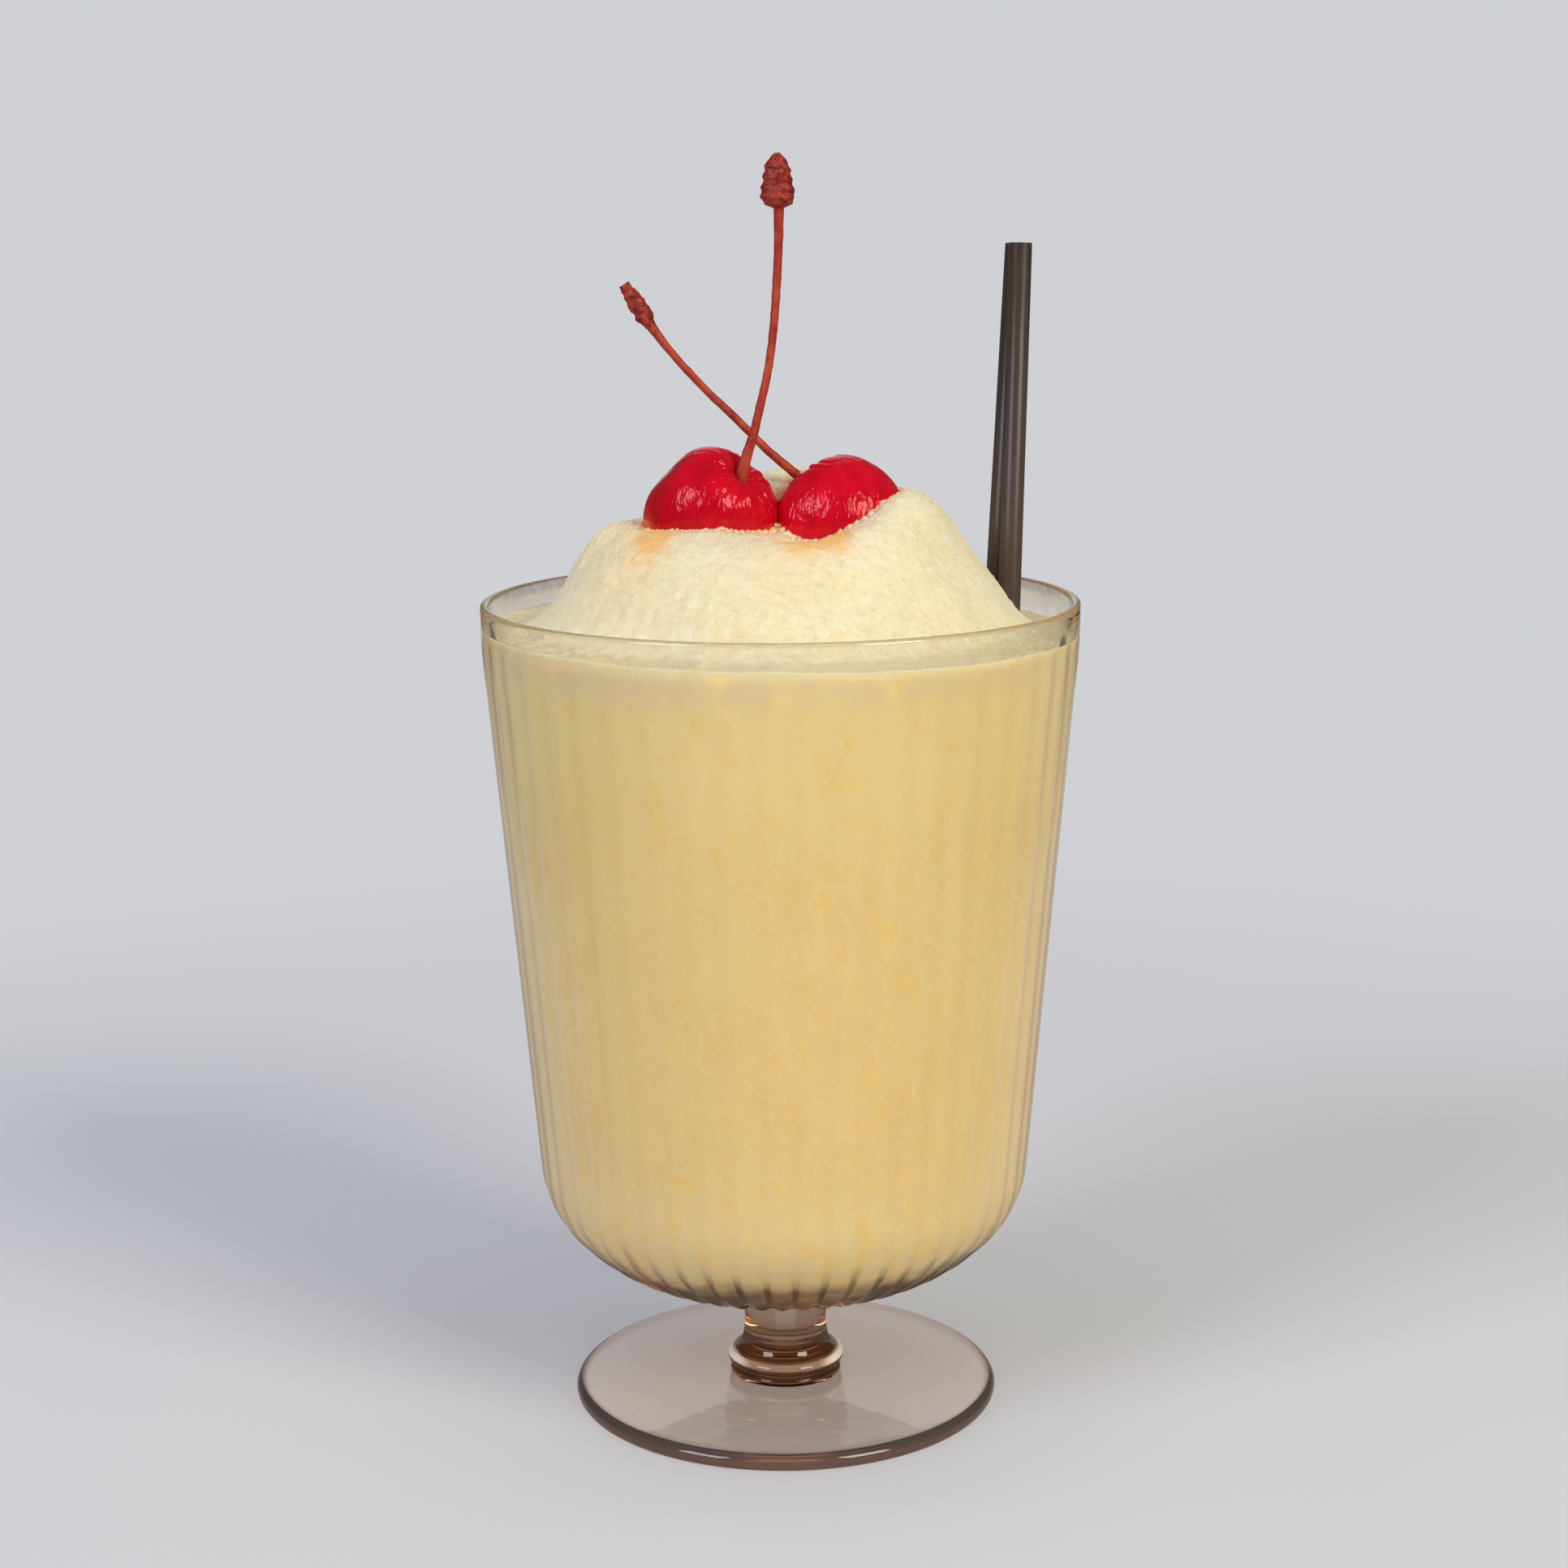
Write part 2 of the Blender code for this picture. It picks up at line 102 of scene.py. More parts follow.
# Drink: level at the wall, then a mound with a tilted top and steep flanks
LEVEL = 119.1
LEVEL_TILT = -0.016
MOUND_TOP = 136.8
MOUND_TILT = 0.121
FLANK_RADIUS = 28.8
FLANK_Z = 129.5
FLANK_SIDE_SLOPE = 1.4
FLANK_FRONT_SLOPE = 1.05
SHOULDER_BLEND = 6.0
LEVEL_BLEND = 4.0
FRONT_START = 8.0
FRONT_SLOPE = 0.23

# Rises and hollows of the mound, as (x, y, height, spread)
PEAK = (0.5, 9.5, 4.8, 7.0)
HOLLOW = (4.0, -8.5, -4.6, 6.0)
SHOULDER = (-26.5, -1.0, 1.3, 3.6)

# Where syrup has stained the ice: x, y, reach and strength
STAINS = (
    (-20.0, -9.0, 10.0, 0.2),
    (1.0, -17.0, 9.0, 0.15),
    (-18.3, -12.0, 3.9, 0.9),
    (3.0, -16.1, 4.6, 1.0),
    (7.0, -15.3, 4.8, 1.0),
)

# How much shorter a stain is from front to back, its colour, and the peach halo round each cherry
STAIN_SHORT = 0.5
STAIN_COLOUR = (0.99, 0.52, 0.17)
HALO_COLOUR = (0.93, 0.50, 0.26)
HALO_WIDTH = 2.8

# How far the drink reaches into the glass, so that no air shows between them
WALL_REACH = 0.12

# Relief of the ice, as (size of the lumps, height, seed), its steps and rings, and the loose grains
ICE_RELIEF = ((9.0, 0.5, 1), (3.4, 0.16, 2), (1.5, 0.16, 3), (0.85, 0.19, 4))
DRINK_STEPS = 480
MOUND_RINGS = 165
CRYSTAL_COUNT = 9000
CRYSTAL_SIZES = (0.15, 0.3)
CRYSTAL_REACH = 5.0
CRUMB_COUNT = 200
CRUMB_SIZES = (0.3, 0.65)
GRAIN_STRETCH = (0.65, 1.25)

# How far a grain or a crumb is sunk in the ice, as a share of its size, and the random seeds
CRYSTAL_SUNK = 0.3
CRUMB_SUNK = 0.6
CRYSTAL_SEED = 11
CRUMB_SEED = 23

# Cherries: middle, radius, and the way that the stem dimple faces
CHERRIES = {
    "left": ((-9.8, -2.0, 136.3), 9.35, (0.59, -0.35, 0.72)),
    "right": ((8.9, 0.0, 134.9), 9.1, (-0.52, 0.42, 0.74)),
}

# Uneven form of each cherry: the way that a lobe or a flat faces, its share of the radius, its spread
LOBES = {
    "left": (
        ((-0.95, -0.1, -0.3), 0.08, 32),
        ((-0.72, 0.0, 0.69), -0.08, 26),
        ((-0.1, 0.1, 1.0), 0.02, 22),
        ((0.95, -0.1, -0.25), 0.06, 26),
    ),
    "right": (
        ((0.93, 0.0, 0.36), 0.04, 30),
        ((0.2, -0.9, 0.4), -0.03, 40),
        ((-0.92, -0.35, -0.1), 0.11, 32),
        ((-0.1, 0.0, 1.0), 0.04, 30),
    ),
}

# Where the skin of the left cherry turns orange
CHERRY_TIP = (-20.5, -4.5, 133.0)

# Dimple at the stem, the narrow socket in it, and the dent at the other end
DIMPLE_DEPTH = 0.22
DIMPLE_WIDTH = 26
STEM_SOCKET = (0.12, 9)
BLOSSOM_DEPTH = 0.05

# Relief of the skin as shares of the radius: folds round the dimple, streaks, and a broad unevenness.
# The folds are of two kinds, and lie within a belt round the dimple, in degrees from its middle.
FOLD_COUNTS = (15, 26)
FOLD_BELT = (28, 15)
FOLDS = 0.012
STREAKS = 0.02
BROAD = 0.024
CHERRY_STEPS = 320
CHERRY_RINGS = 180

# Stems: a route of places from inside the cherry to the bud, and the radius at each
STEMS = {
    "left": (
        (-6.0, -4.4, 139.4, 0.95),
        (-5.5, -4.5, 141.4, 0.95),
        (-4.8, -4.4, 144.2, 0.80),
        (-3.7, -4.2, 147.6, 0.66),
        (-2.4, -3.9, 152.8, 0.61),
        (-1.4, -3.6, 157.4, 0.60),
        (-0.7, -3.3, 162.6, 0.60),
        (-0.2, -3.0, 168.9, 0.62),
        (0.1, -2.7, 174.6, 0.64),
        (0.2, -2.4, 179.6, 0.75),
        (-0.1, -2.2, 187.3, 0.75),
    ),
    "right": (
        (4.4, 3.4, 139.3, 0.80),
        (1.9, 3.0, 141.6, 0.70),
        (-1.7, 2.8, 144.7, 0.62),
        (-6.3, 2.6, 149.4, 0.58),
        (-10.0, 2.6, 152.9, 0.56),
        (-13.4, 2.6, 156.5, 0.56),
        (-16.4, 2.6, 160.0, 0.60),
        (-18.6, 2.6, 163.0, 0.75),
        (-22.3, 2.6, 168.9, 0.75),
    ),
}

# Bud at the stem's end, as (share of its length, radius), and the height of its scales per radius
BUDS = {
    "left": ((0.0, 0.8), (0.07, 2.0), (0.2, 2.45), (0.4, 2.15), (0.65, 1.95), (0.85, 1.35), (1.0, 0.4)),
    "right": ((0.0, 0.75), (0.2, 1.2), (0.45, 1.35), (0.75, 1.1), (1.0, 0.65)),
}
BUD_SCALES = {"left": 0.09, "right": 0.07}
STEM_SIDES = 36
STEM_STEPS = 14
BUD_STEPS = 60

# Roughness of the stems, as (size of the lumps, height on the stem, height on the bud)
STEM_ROUGHNESS = ((1.1, 0.05, 0.34), (0.5, 0.03, 0.16))

# Straws: outer radius, wall, length, and two places on the axis, the first its lower end
STRAW_RADIUS = 1.7
STRAW_WALL = 0.22
STRAW_LENGTH = 133.5
STRAW_SIDES = 48
STRAWS = {
    "front": ((32.0, 3.5, 41.0), (35.8, 11.1, 174.2)),
    "back": ((28.2, 6.7, 41.0), (35.5, 14.85, 174.0)),
}

# Softboxes: azimuth to the viewer's right, elevation, distance, width, height, power in watts, colour
SOFTBOXES = {
    "key": (45, 29, 2200, 900, 900, 27.6, (1.0, 0.94, 0.80)),
    "fill": (-47, 29, 2200, 900, 900, 23.4, (0.80, 0.805, 0.965)),
}
LIGHT_AIM = (0.0, 0.0, 80.0)

# Surroundings: a pale, narrow backdrop behind the glass in a dark room, and soft light all round
BACKDROP = (0.624, 0.638, 0.665)
ROOM = (0.07, 0.065, 0.06)
SIDE_LEFT = (0.325, 0.362, 0.415)
SIDE_RIGHT = (0.52, 0.515, 0.515)
SIDE_TURN = (-0.6, 0.8)
CEILING = (0.47, 0.495, 0.545)
CEILING_START = (0.35, 0.62)
BACKDROP_SIDE = (0.22, 0.12)
BACKDROP_THROUGH = (0.42, 0.24)
BACKDROP_FRONT = (0.3, 0.6)
ROOM_THROUGH = (0.15, 0.12, 0.095)
BACKDROP_TOP = (0.46, 0.60)
PAPER_SIDE = (190.0, 300.0)
FLOOR_DROP = 0.1
FLOOR_RADIUS = 2500.0
FLOOR_FADE = (150.0, 420.0)
FLOOR_COLOUR = (0.70, 0.70, 0.705)
# How much darker the floor is where it is mirrored: a painted shade in its reflections
MIRROR_DARK = 0.45

# Glass itself: what it absorbs, how clear it is for shadows, and the haze where it is seen aslant
ABSORPTION = (0.743, 0.486, 0.243)
ABSORPTION_DENSITY = 70.0
CLEAR = (0.985, 0.985, 0.985)
HAZE = 0.11
# How cloudy the foot's edge is made: painted light that stands in for the light its real edge passes
FOOT_EDGE_PAINTED_LIGHT = 0.1

# Knop's ring: how far aside its ends start, its cloudiness in front and there, and both colours, a painted
# reflection of the drink in front and painted highlights at its ends
RING_SIDE = (4.8, 7.4)
RING_CLOUD = (0.28, 0.9)
RING_PAINTED_REFLECTION = (0.88, 0.63, 0.43)
RING_PAINTED_HIGHLIGHT = (1.0, 0.89, 0.72)

# How far back the glass counts as its back, where the film and the mottled rim are
BACK_HALF = (2.0, 16.0)


def mix(a, b, share):
    return a + (b - a) * share


def ramp(value, low, high):
    """0 below low, 1 above high, with a smooth rise between them."""
    share = np.clip((value - low) / (high - low), 0.0, 1.0)
    return share * share * (3 - 2 * share)


def smooth_min(a, b, blend):
    overlap = np.maximum(blend - np.abs(a - b), 0.0) / blend
    return np.minimum(a, b) - overlap * overlap * blend / 4


def smooth_max(a, b, blend):
    return -smooth_min(-a, -b, blend)


def smooth_curve(places, steps):
    """Points on a smooth curve through the places, with the given steps between two of them."""
    places = np.array(places, dtype=float)
    padded = np.vstack((places[:1], places, places[-1:]))
    t = np.linspace(0, 1, steps, endpoint=False)[:, None]
    found = []
    for before, start, end, after in zip(padded, padded[1:], padded[2:], padded[3:]):
        square = 2 * before - 5 * start + 4 * end - after
        cube = 3 * start - before - 3 * end + after
        found.append(start + 0.5 * ((end - before) * t + square * t**2 + cube * t**3))
    return np.vstack(found + [places[-1:]])


def lumps(points, size, seed):
    """Smooth noise at each point, with lumps of the given size."""
    shift = Vector((17.3, 5.1, 9.7)) * seed
    return np.array([noise.noise(Vector(point) / size + shift) for point in points])


def add_object(name, mesh, material):
    obj = bpy.data.objects.new(name, mesh)
    bpy.context.scene.collection.objects.link(obj)
    mesh.materials.append(material)
    mesh.shade_smooth()
    return obj


def ring_faces(ring_count, steps, closed=False):
    """Faces between rings of points that follow each other, the last one back to the first if closed."""
    along = np.arange(ring_count if closed else ring_count - 1)[:, None]
    around = np.arange(steps)[None, :]
    after = (around + 1) % steps
    below = (along + 1) % ring_count
    upper, lower = along * steps, below * steps
    quads = np.stack((upper + around, lower + around, lower + after, upper + after), -1)
    return quads.reshape(-1, 4).tolist()


def ring_mesh(name, rings, material, poles=None, closed=False):
    """A piece through rings of points, from a first to a last pole, or round and back if closed."""
    ring_count, steps = rings.shape[:2]
    points = rings.reshape(-1, 3)
    faces = ring_faces(ring_count, steps, closed)
    if poles is not None:
        points = np.vstack((points, poles))
        first = ring_count * steps
        last_ring = (ring_count - 1) * steps
        for i in range(steps):
            after = (i + 1) % steps
            faces.append((first, i, after))
            faces.append((first + 1, last_ring + after, last_ring + i))
    mesh = bpy.data.meshes.new(name)
    mesh.from_pydata((points * MM).tolist(), [], faces)
    return add_object(name, mesh, material)


def turned_rings(outline, azimuths):
    """Rings of points round Z for an outline of (radius, height)."""
    rings = np.empty((len(outline), len(azimuths), 3))
    rings[:, :, 0] = outline[:, :1] * np.cos(azimuths)
    rings[:, :, 1] = outline[:, :1] * np.sin(azimuths)
    rings[:, :, 2] = outline[:, 1:2]
    return rings


def straight(start, end, segments):
    """Points from start to end, both with them."""
    return np.linspace(start, end, segments + 1)


def arc(centre, radius, start, end, segments):
    """Points and outward normals on an arc, as rows of four; an angle of 0 points straight down."""
    angles = straight(start, end, segments)
    normals = np.column_stack((np.sin(angles), -np.cos(angles)))
    return np.hstack((np.array(centre) + radius * normals, normals))


# Glass

def bowl_outside():
    """The bowl's outside without ribs, from the axis up, as rows of radius, height and outward normal."""
    lean = math.atan2(WALL_TOP_RADIUS - WALL_FOOT_RADIUS, RIM_FLARE_START - WALL_FOOT_Z)
    wall_angle = math.pi / 2 - lean
    wall_normal = (math.sin(wall_angle), -math.cos(wall_angle))
    corner_x = WALL_FOOT_RADIUS - CORNER_ARC * wall_normal[0]
    corner_z = WALL_FOOT_Z - CORNER_ARC * wall_normal[1]
    bottom_x = corner_x - (BOTTOM_ARC - CORNER_ARC) * math.sin(ARC_JOIN)
    under_start = (RIB_START_RADIUS / 4, BOWL_UNDERSIDE, 0, -1)
    under = straight(under_start, (bottom_x, BOWL_UNDERSIDE, 0, -1), UNDER_STEPS)
    bottom = arc((bottom_x, BOWL_UNDERSIDE + BOTTOM_ARC), BOTTOM_ARC, 0, ARC_JOIN, ARC_STEPS)
    corner = arc((corner_x, corner_z), CORNER_ARC, ARC_JOIN, wall_angle, ARC_STEPS)
    wall_foot = (WALL_FOOT_RADIUS, WALL_FOOT_Z, *wall_normal)
    wall = straight(wall_foot, (WALL_TOP_RADIUS, RIM_FLARE_START, *wall_normal), WALL_STEPS)
    height = straight(RIM_FLARE_START, GLASS_HEIGHT - RIM_WALL / 2, FLARE_STEPS)
    share = np.minimum((height - RIM_FLARE_START) / (RIB_TOP - RIM_FLARE_START), 1)
    radius = mix(WALL_TOP_RADIUS, RIM_RADIUS, 1 - (1 - share) ** 2)
    upright = np.ones_like(height)
    flare = np.column_stack((radius, height, upright, 0 * upright))
    return np.vstack((under[:-1], bottom, corner[1:], wall[1:], flare[1:]))


def wall_thickness(height):
    """The glass's thickness where its outside is at the given height."""
    low = mix(BOTTOM_WALL, CORNER_WALL, ramp(height, BOWL_UNDERSIDE, BOWL_UNDERSIDE + BOTTOM_WALL))
    share = (height - WALL_FOOT_Z) / (RIM_FLARE_START - WALL_FOOT_Z)
    middle = mix(CORNER_WALL, MIDDLE_WALL, share)
    high = mix(MIDDLE_WALL, RIM_WALL, ramp(height, RIM_FLARE_START, GLASS_HEIGHT))
    return np.where(height < WALL_FOOT_Z, low, np.where(share < 1, middle, high))


def bowl_inside(inset=0.0):
    """The inner outline from the axis up as (radius, height), moved further in by the inset."""
    outside = bowl_outside()
    depth = wall_thickness(outside[:, 1]) + inset
    return outside[:, :2] - outside[:, 2:] * depth[:, None]


def glass_outline():
    """The whole outline: up the inside from the middle, over the lip and down the outside to the base."""
    inside = bowl_inside()
    outside = bowl_outside()[::-1, :2]
    lip_middle = np.array((outside[0, 0] + inside[-1, 0], 2 * outside[0, 1])) / 2
    lip_half = (outside[0, 0] - inside[-1, 0]) / 2
    lip = arc(lip_middle, lip_half, 1.5 * math.pi, 0.5 * math.pi, LIP_STEPS)[1:-1, :2]
    outside = outside[outside[:, 0] > STEM_OUTLINE[0][0] + 0.3]
    stem = smooth_curve(STEM_OUTLINE, 4)
    knop = smooth_curve(KNOP_OUTLINE, 4)
    foot = smooth_curve(FOOT_OUTLINE, 3)
    edge_half = FOOT_EDGE / 2
    edge = arc((FOOT_RADIUS - edge_half, edge_half), edge_half, math.pi, 0.0, LIP_STEPS)[1:, :2]
    under = straight((FOOT_RADIUS - 2 * edge_half, 0.0), (1.0, 0.0), BASE_STEPS)
    return np.vstack((inside, lip, outside, stem, knop, foot, edge, under)), len(inside)


def press_ribs(rings, outline, first):
    """Moves the outer wall in between the ribs, all the way from the rim to the stem."""
    way = np.gradient(outline, axis=0)
    inward = np.column_stack((way[:, 1], -way[:, 0]))
    inward /= np.linalg.norm(inward, axis=1, keepdims=True)
    radius, height = outline[first:].T
    phase = np.arange(RIBS * RIB_POINTS) / RIB_POINTS * math.tau
    groove = 0.5 + 0.5 * np.cos(phase)
    on_bowl = (height > BOWL_UNDERSIDE - 0.01) * ramp(radius, RIB_START_RADIUS, RIB_START_RADIUS + 3)
    deepest = mix(RIB_DEPTH, RIB_DEPTH_BELOW, 1 - ramp(height, BOWL_UNDERSIDE, WALL_FOOT_Z))
    depth = deepest * (1 - ramp(height, RIB_FULL, RIB_TOP)) * on_bowl
    moved = depth[:, None] * groove[None, :]
    scale = 1 + moved * inward[first:, :1] / radius[:, None]
    rings[first:, :, :2] *= scale[..., None]
    rings[first:, :, 2] += moved * inward[first:, 1:]


def make_glass(material):
    outline, first_outside = glass_outline()
    azimuths = np.arange(RIBS * RIB_POINTS) / (RIBS * RIB_POINTS) * math.tau + RIB_TURN
    rings = turned_rings(outline, azimuths)
    press_ribs(rings, outline, first_outside)
    poles = ((0, 0, outline[0, 1]), (0, 0, 0))
    return ring_mesh("ribbed_glass", rings, material, poles)


# Drink

def bump(x, y, shape):
    """A rounded rise, or a hollow if its height is negative: middle, height and spread."""
    middle_x, middle_y, height, spread = shape
    away = (x - middle_x) ** 2 + (y - middle_y) ** 2
    return height * np.exp(-away / (2 * spread * spread))


def mound_height(x, y):
    """The drink's upper surface over (x, y), before its relief."""
    radius = np.maximum(np.hypot(x, y), 0.001)
    slope = mix(FLANK_SIDE_SLOPE, FLANK_FRONT_SLOPE, (y / radius) ** 2)
    top = MOUND_TOP + MOUND_TILT * x + bump(x, y, PEAK) + bump(x, y, HOLLOW)
    top = top - FRONT_SLOPE * smooth_max(-y - FRONT_START, 0.0 * y, 4.0)
    flank = FLANK_Z - slope * (radius - FLANK_RADIUS)
    level = LEVEL + LEVEL_TILT * x
    mound = smooth_min(top, flank, SHOULDER_BLEND) + bump(x, y, SHOULDER)
    return smooth_max(mound, level, LEVEL_BLEND)


def ice_relief(points):
    """How far the ice stands out at each point, from broad lumps down to grains."""
    return sum(height * lumps(points, size, seed) for size, height, seed in ICE_RELIEF)


def mound_rings(azimuths):
    """The upper surface of the drink, as rings from near the middle out to the glass."""
    side = bowl_inside(-WALL_REACH)
    contact = np.interp(LEVEL, side[:, 1], side[:, 0])
    radii = contact * np.arange(1, MOUND_RINGS + 1) / MOUND_RINGS
    rings = turned_rings(np.column_stack((radii, radii)), azimuths)
    x, y = rings[..., 0], rings[..., 1]
    rings[..., 2] = mound_height(x, y)
    step = 0.1
    slope_x = (mound_height(x + step, y) - mound_height(x - step, y)) / (2 * step)
    slope_y = (mound_height(x, y + step) - mound_height(x, y - step)) / (2 * step)
    normals = np.stack((-slope_x, -slope_y, np.ones_like(x)), -1)
    normals /= np.linalg.norm(normals, axis=-1, keepdims=True)
    relief = ice_relief(rings.reshape(-1, 3)).reshape(x.shape)
    free = 1 - ramp(np.hypot(x, y), contact - 1.5, contact)
    moved = rings + normals * (relief * free)[..., None]
    moved[..., 2] += relief * (1 - free) * 0.5
    return moved, normals


def make_drink(material):
    azimuths = np.arange(DRINK_STEPS) / DRINK_STEPS * math.tau
    top, normals = mound_rings(azimuths)
    side = bowl_inside(-WALL_REACH)
    side = side[side[:, 1] < LEVEL - 1.5][::-1]
    rings = np.vstack((top, turned_rings(side, azimuths)))
    middle_height = float(mound_height(np.array(0.0), np.array(0.0)))
    poles = ((0, 0, middle_height), (0, 0, side[-1, 1]))
    return ring_mesh("iced_drink", rings, material, poles), top, normals


def ball(subdivisions):
    """Points and faces of a small round body of unit size."""
    work = bmesh.new()
    bmesh.ops.create_icosphere(work, subdivisions=subdivisions, radius=1.0)
    points = np.array([vertex.co for vertex in work.verts])
    faces = np.array([[vertex.index for vertex in face.verts] for face in work.faces])
    work.free()
    return points, faces


def random_turns(count, chance):
    """One random rotation matrix for each of the given number of bodies."""
    quaternions = chance.normal(size=(count, 4))
    w, x, y, z = quaternions.T / np.linalg.norm(quaternions, axis=1)
    rows = (
        (1 - 2 * (y * y + z * z), 2 * (x * y - z * w), 2 * (x * z + y * w)),
        (2 * (x * y + z * w), 1 - 2 * (x * x + z * z), 2 * (y * z - x * w)),
        (2 * (x * z - y * w), 2 * (y * z + x * w), 1 - 2 * (x * x + y * y)),
    )
    return np.moveaxis(np.array(rows), 2, 0)


def scatter(name, centres, sizes, subdivisions, unevenness, chance, material):
    """Uneven grains at the given centres, joined in one piece."""
    points, faces = ball(subdivisions)
    count = len(centres)
    stretch = chance.uniform(*GRAIN_STRETCH, size=(count, 1, 3))
    rough = 1 + chance.uniform(-unevenness, unevenness, size=(count, len(points), 1))
    grains = points * stretch * rough @ random_turns(count, chance) * sizes[:, None, None]
    grains += centres[:, None, :]
    every_face = faces + np.arange(count)[:, None, None] * len(points)
    mesh = bpy.data.meshes.new(name)
    mesh.from_pydata((grains.reshape(-1, 3) * MM).tolist(), [], every_face.reshape(-1, 3).tolist())
    return add_object(name, mesh, material)


def cherry_depth(points, side):
    """How far each point is outside a cherry's skin, and negative inside it."""
    middle, size, _ = CHERRIES[side]
    away = points - np.array(middle)
    length = np.linalg.norm(away, axis=-1)
    form = np.ones_like(length)
    for facing, amount, spread in LOBES[side]:
        form += swell(away / length[..., None], facing, amount, spread)
    return length - size * form


def make_crystals(top, normals, material):
    """Loose grains of ice, half sunk in the mound."""
    chance = np.random.default_rng(CRYSTAL_SEED)
    radius_share = np.sqrt(chance.uniform(0.0, 1.0, CRYSTAL_COUNT))
    ring = np.minimum((radius_share * (MOUND_RINGS - 2)).astype(int), MOUND_RINGS - 3)
    step = chance.integers(0, DRINK_STEPS, CRYSTAL_COUNT)
    sizes = mix(*CRYSTAL_SIZES, chance.uniform(0.0, 1.0, CRYSTAL_COUNT) ** 2)
    centres = top[ring, step] - normals[ring, step] * (sizes * CRYSTAL_SUNK)[:, None]
    depth = np.minimum(cherry_depth(centres, "left"), cherry_depth(centres, "right"))
    wanted = 0.2 + np.exp(-depth / CRYSTAL_REACH)
    kept = (depth > -0.1) & (chance.uniform(0.0, 1.0, CRYSTAL_COUNT) < wanted)
    return scatter("ice_crystals", centres[kept], sizes[kept], 1, 0.18, chance, material)


def make_crumbs(top, normals, material):
    """Larger crumbs of ice where the mound meets the cherries."""
    chance = np.random.default_rng(CRUMB_SEED)
    points = top[:-4].reshape(-1, 3)
    outward = normals[:-4].reshape(-1, 3)
    depth = np.minimum(cherry_depth(points, "left"), cherry_depth(points, "right"))
    border = np.flatnonzero((depth > -0.2) & (depth < 0.9))
    chosen = chance.choice(border, CRUMB_COUNT * 2, replace=False)
    sizes = mix(*CRUMB_SIZES, chance.uniform(0.0, 1.0, len(chosen)))
    centres = points[chosen] - outward[chosen] * (sizes * CRUMB_SUNK)[:, None]
    return scatter("ice_crumbs", centres, sizes, 2, 0.2, chance, material)


# Cherries and stems

def swell(directions, facing, amount, spread):
    """The share by which a surface moves out where its direction is near the one that faces."""
    facing = np.array(facing) / np.linalg.norm(facing)
    away = np.degrees(np.arccos(np.clip(directions @ facing, -1, 1))) / spread
    return amount * np.exp(-away * away)


def cherry_wrinkles(local, seed):
    """Folds that run out from the stem dimple, finer ones in patches, and a faint unevenness all over."""
    from_dimple = np.degrees(np.arccos(np.clip(local[:, 2], -1, 1)))
    around = np.arctan2(local[:, 1], local[:, 0])
    wander = lumps(local, 0.6, seed) * 5.0
    few, many = FOLD_COUNTS
    folds = np.cos(few * around + wander) + 0.5 * np.cos(many * around + 2 * wander + seed)
    middle, width = FOLD_BELT
    near = np.exp(-(((from_dimple - middle) / width) ** 2))
    turned = around + lumps(local, 0.5, seed + 2) * 0.6
    meridian = np.column_stack((np.cos(turned), np.sin(turned), local[:, 2] * 0.3))
    streaks = 0.85 * lumps(meridian, 0.22, seed + 3) + 0.15 * lumps(meridian, 0.1, seed + 4)
    patches = ramp(lumps(local, 0.5, seed + 6), -0.3, 0.3)
    broad = lumps(local, 0.6, seed + 5)
    return FOLDS * folds * near + STREAKS * streaks * (0.3 + 0.7 * patches + near) + BROAD * broad


def make_cherry(side, seed, material):
    middle, size, facing = CHERRIES[side]
    turn = np.array(Vector(facing).to_track_quat("Z", "Y").to_matrix())
    polar = math.pi * (np.arange(CHERRY_RINGS) + 0.5) / CHERRY_RINGS
    outline = np.column_stack((np.sin(polar), np.cos(polar)))
    azimuths = np.arange(CHERRY_STEPS) / CHERRY_STEPS * math.tau
    local = turned_rings(outline, azimuths).reshape(-1, 3)
    local = np.vstack((local, (0, 0, 1), (0, 0, -1)))
    directions = local @ turn.T
    share = 1 - swell(local, (0, 0, 1), DIMPLE_DEPTH, DIMPLE_WIDTH)
    share -= swell(local, (0, 0, 1), *STEM_SOCKET)
    share -= swell(local, (0, 0, -1), BLOSSOM_DEPTH, DIMPLE_WIDTH)
    share += sum(swell(directions, *lobe) for lobe in LOBES[side])
    share += cherry_wrinkles(local, seed)
    points = np.array(middle) + directions * (size * share)[:, None]
    rings = points[:-2].reshape(CHERRY_RINGS, CHERRY_STEPS, 3)
    return ring_mesh(f"fruit_{side}", rings, material, points[-2:])


def tube_rings(centres, radii, sides):
    """Rings round a route, turned as little as possible from one to the next."""
    ways = np.gradient(centres, axis=0)
    ways /= np.linalg.norm(ways, axis=1, keepdims=True)
    across = np.cross(ways[0], (0.0, 1.0, 0.0))
    angles = np.arange(sides) / sides * math.tau
    rings = []
    for centre, way, radius in zip(centres, ways, radii):
        across = across - way * (across @ way)
        across /= np.linalg.norm(across)
        other = np.cross(way, across)
        offsets = np.outer(np.cos(angles), across) + np.outer(np.sin(angles), other)
        rings.append(centre + offsets * np.reshape(radius, (-1, 1)))
    return np.array(rings)


def bud_radii(side, shares, sides):
    """The radius of the bud at each share of its length and each side of it, with its spiral of scales."""
    plain = np.interp(shares, *np.array(BUDS[side]).T)[:, None]
    angles = (np.arange(sides) / sides * math.tau)[None, :]
    rise = shares[:, None] * math.tau
    scales = np.cos(3 * angles + 2.2 * rise) * np.cos(2 * angles - 3.1 * rise + 1.0)
    return plain * (1 + BUD_SCALES[side] * scales)


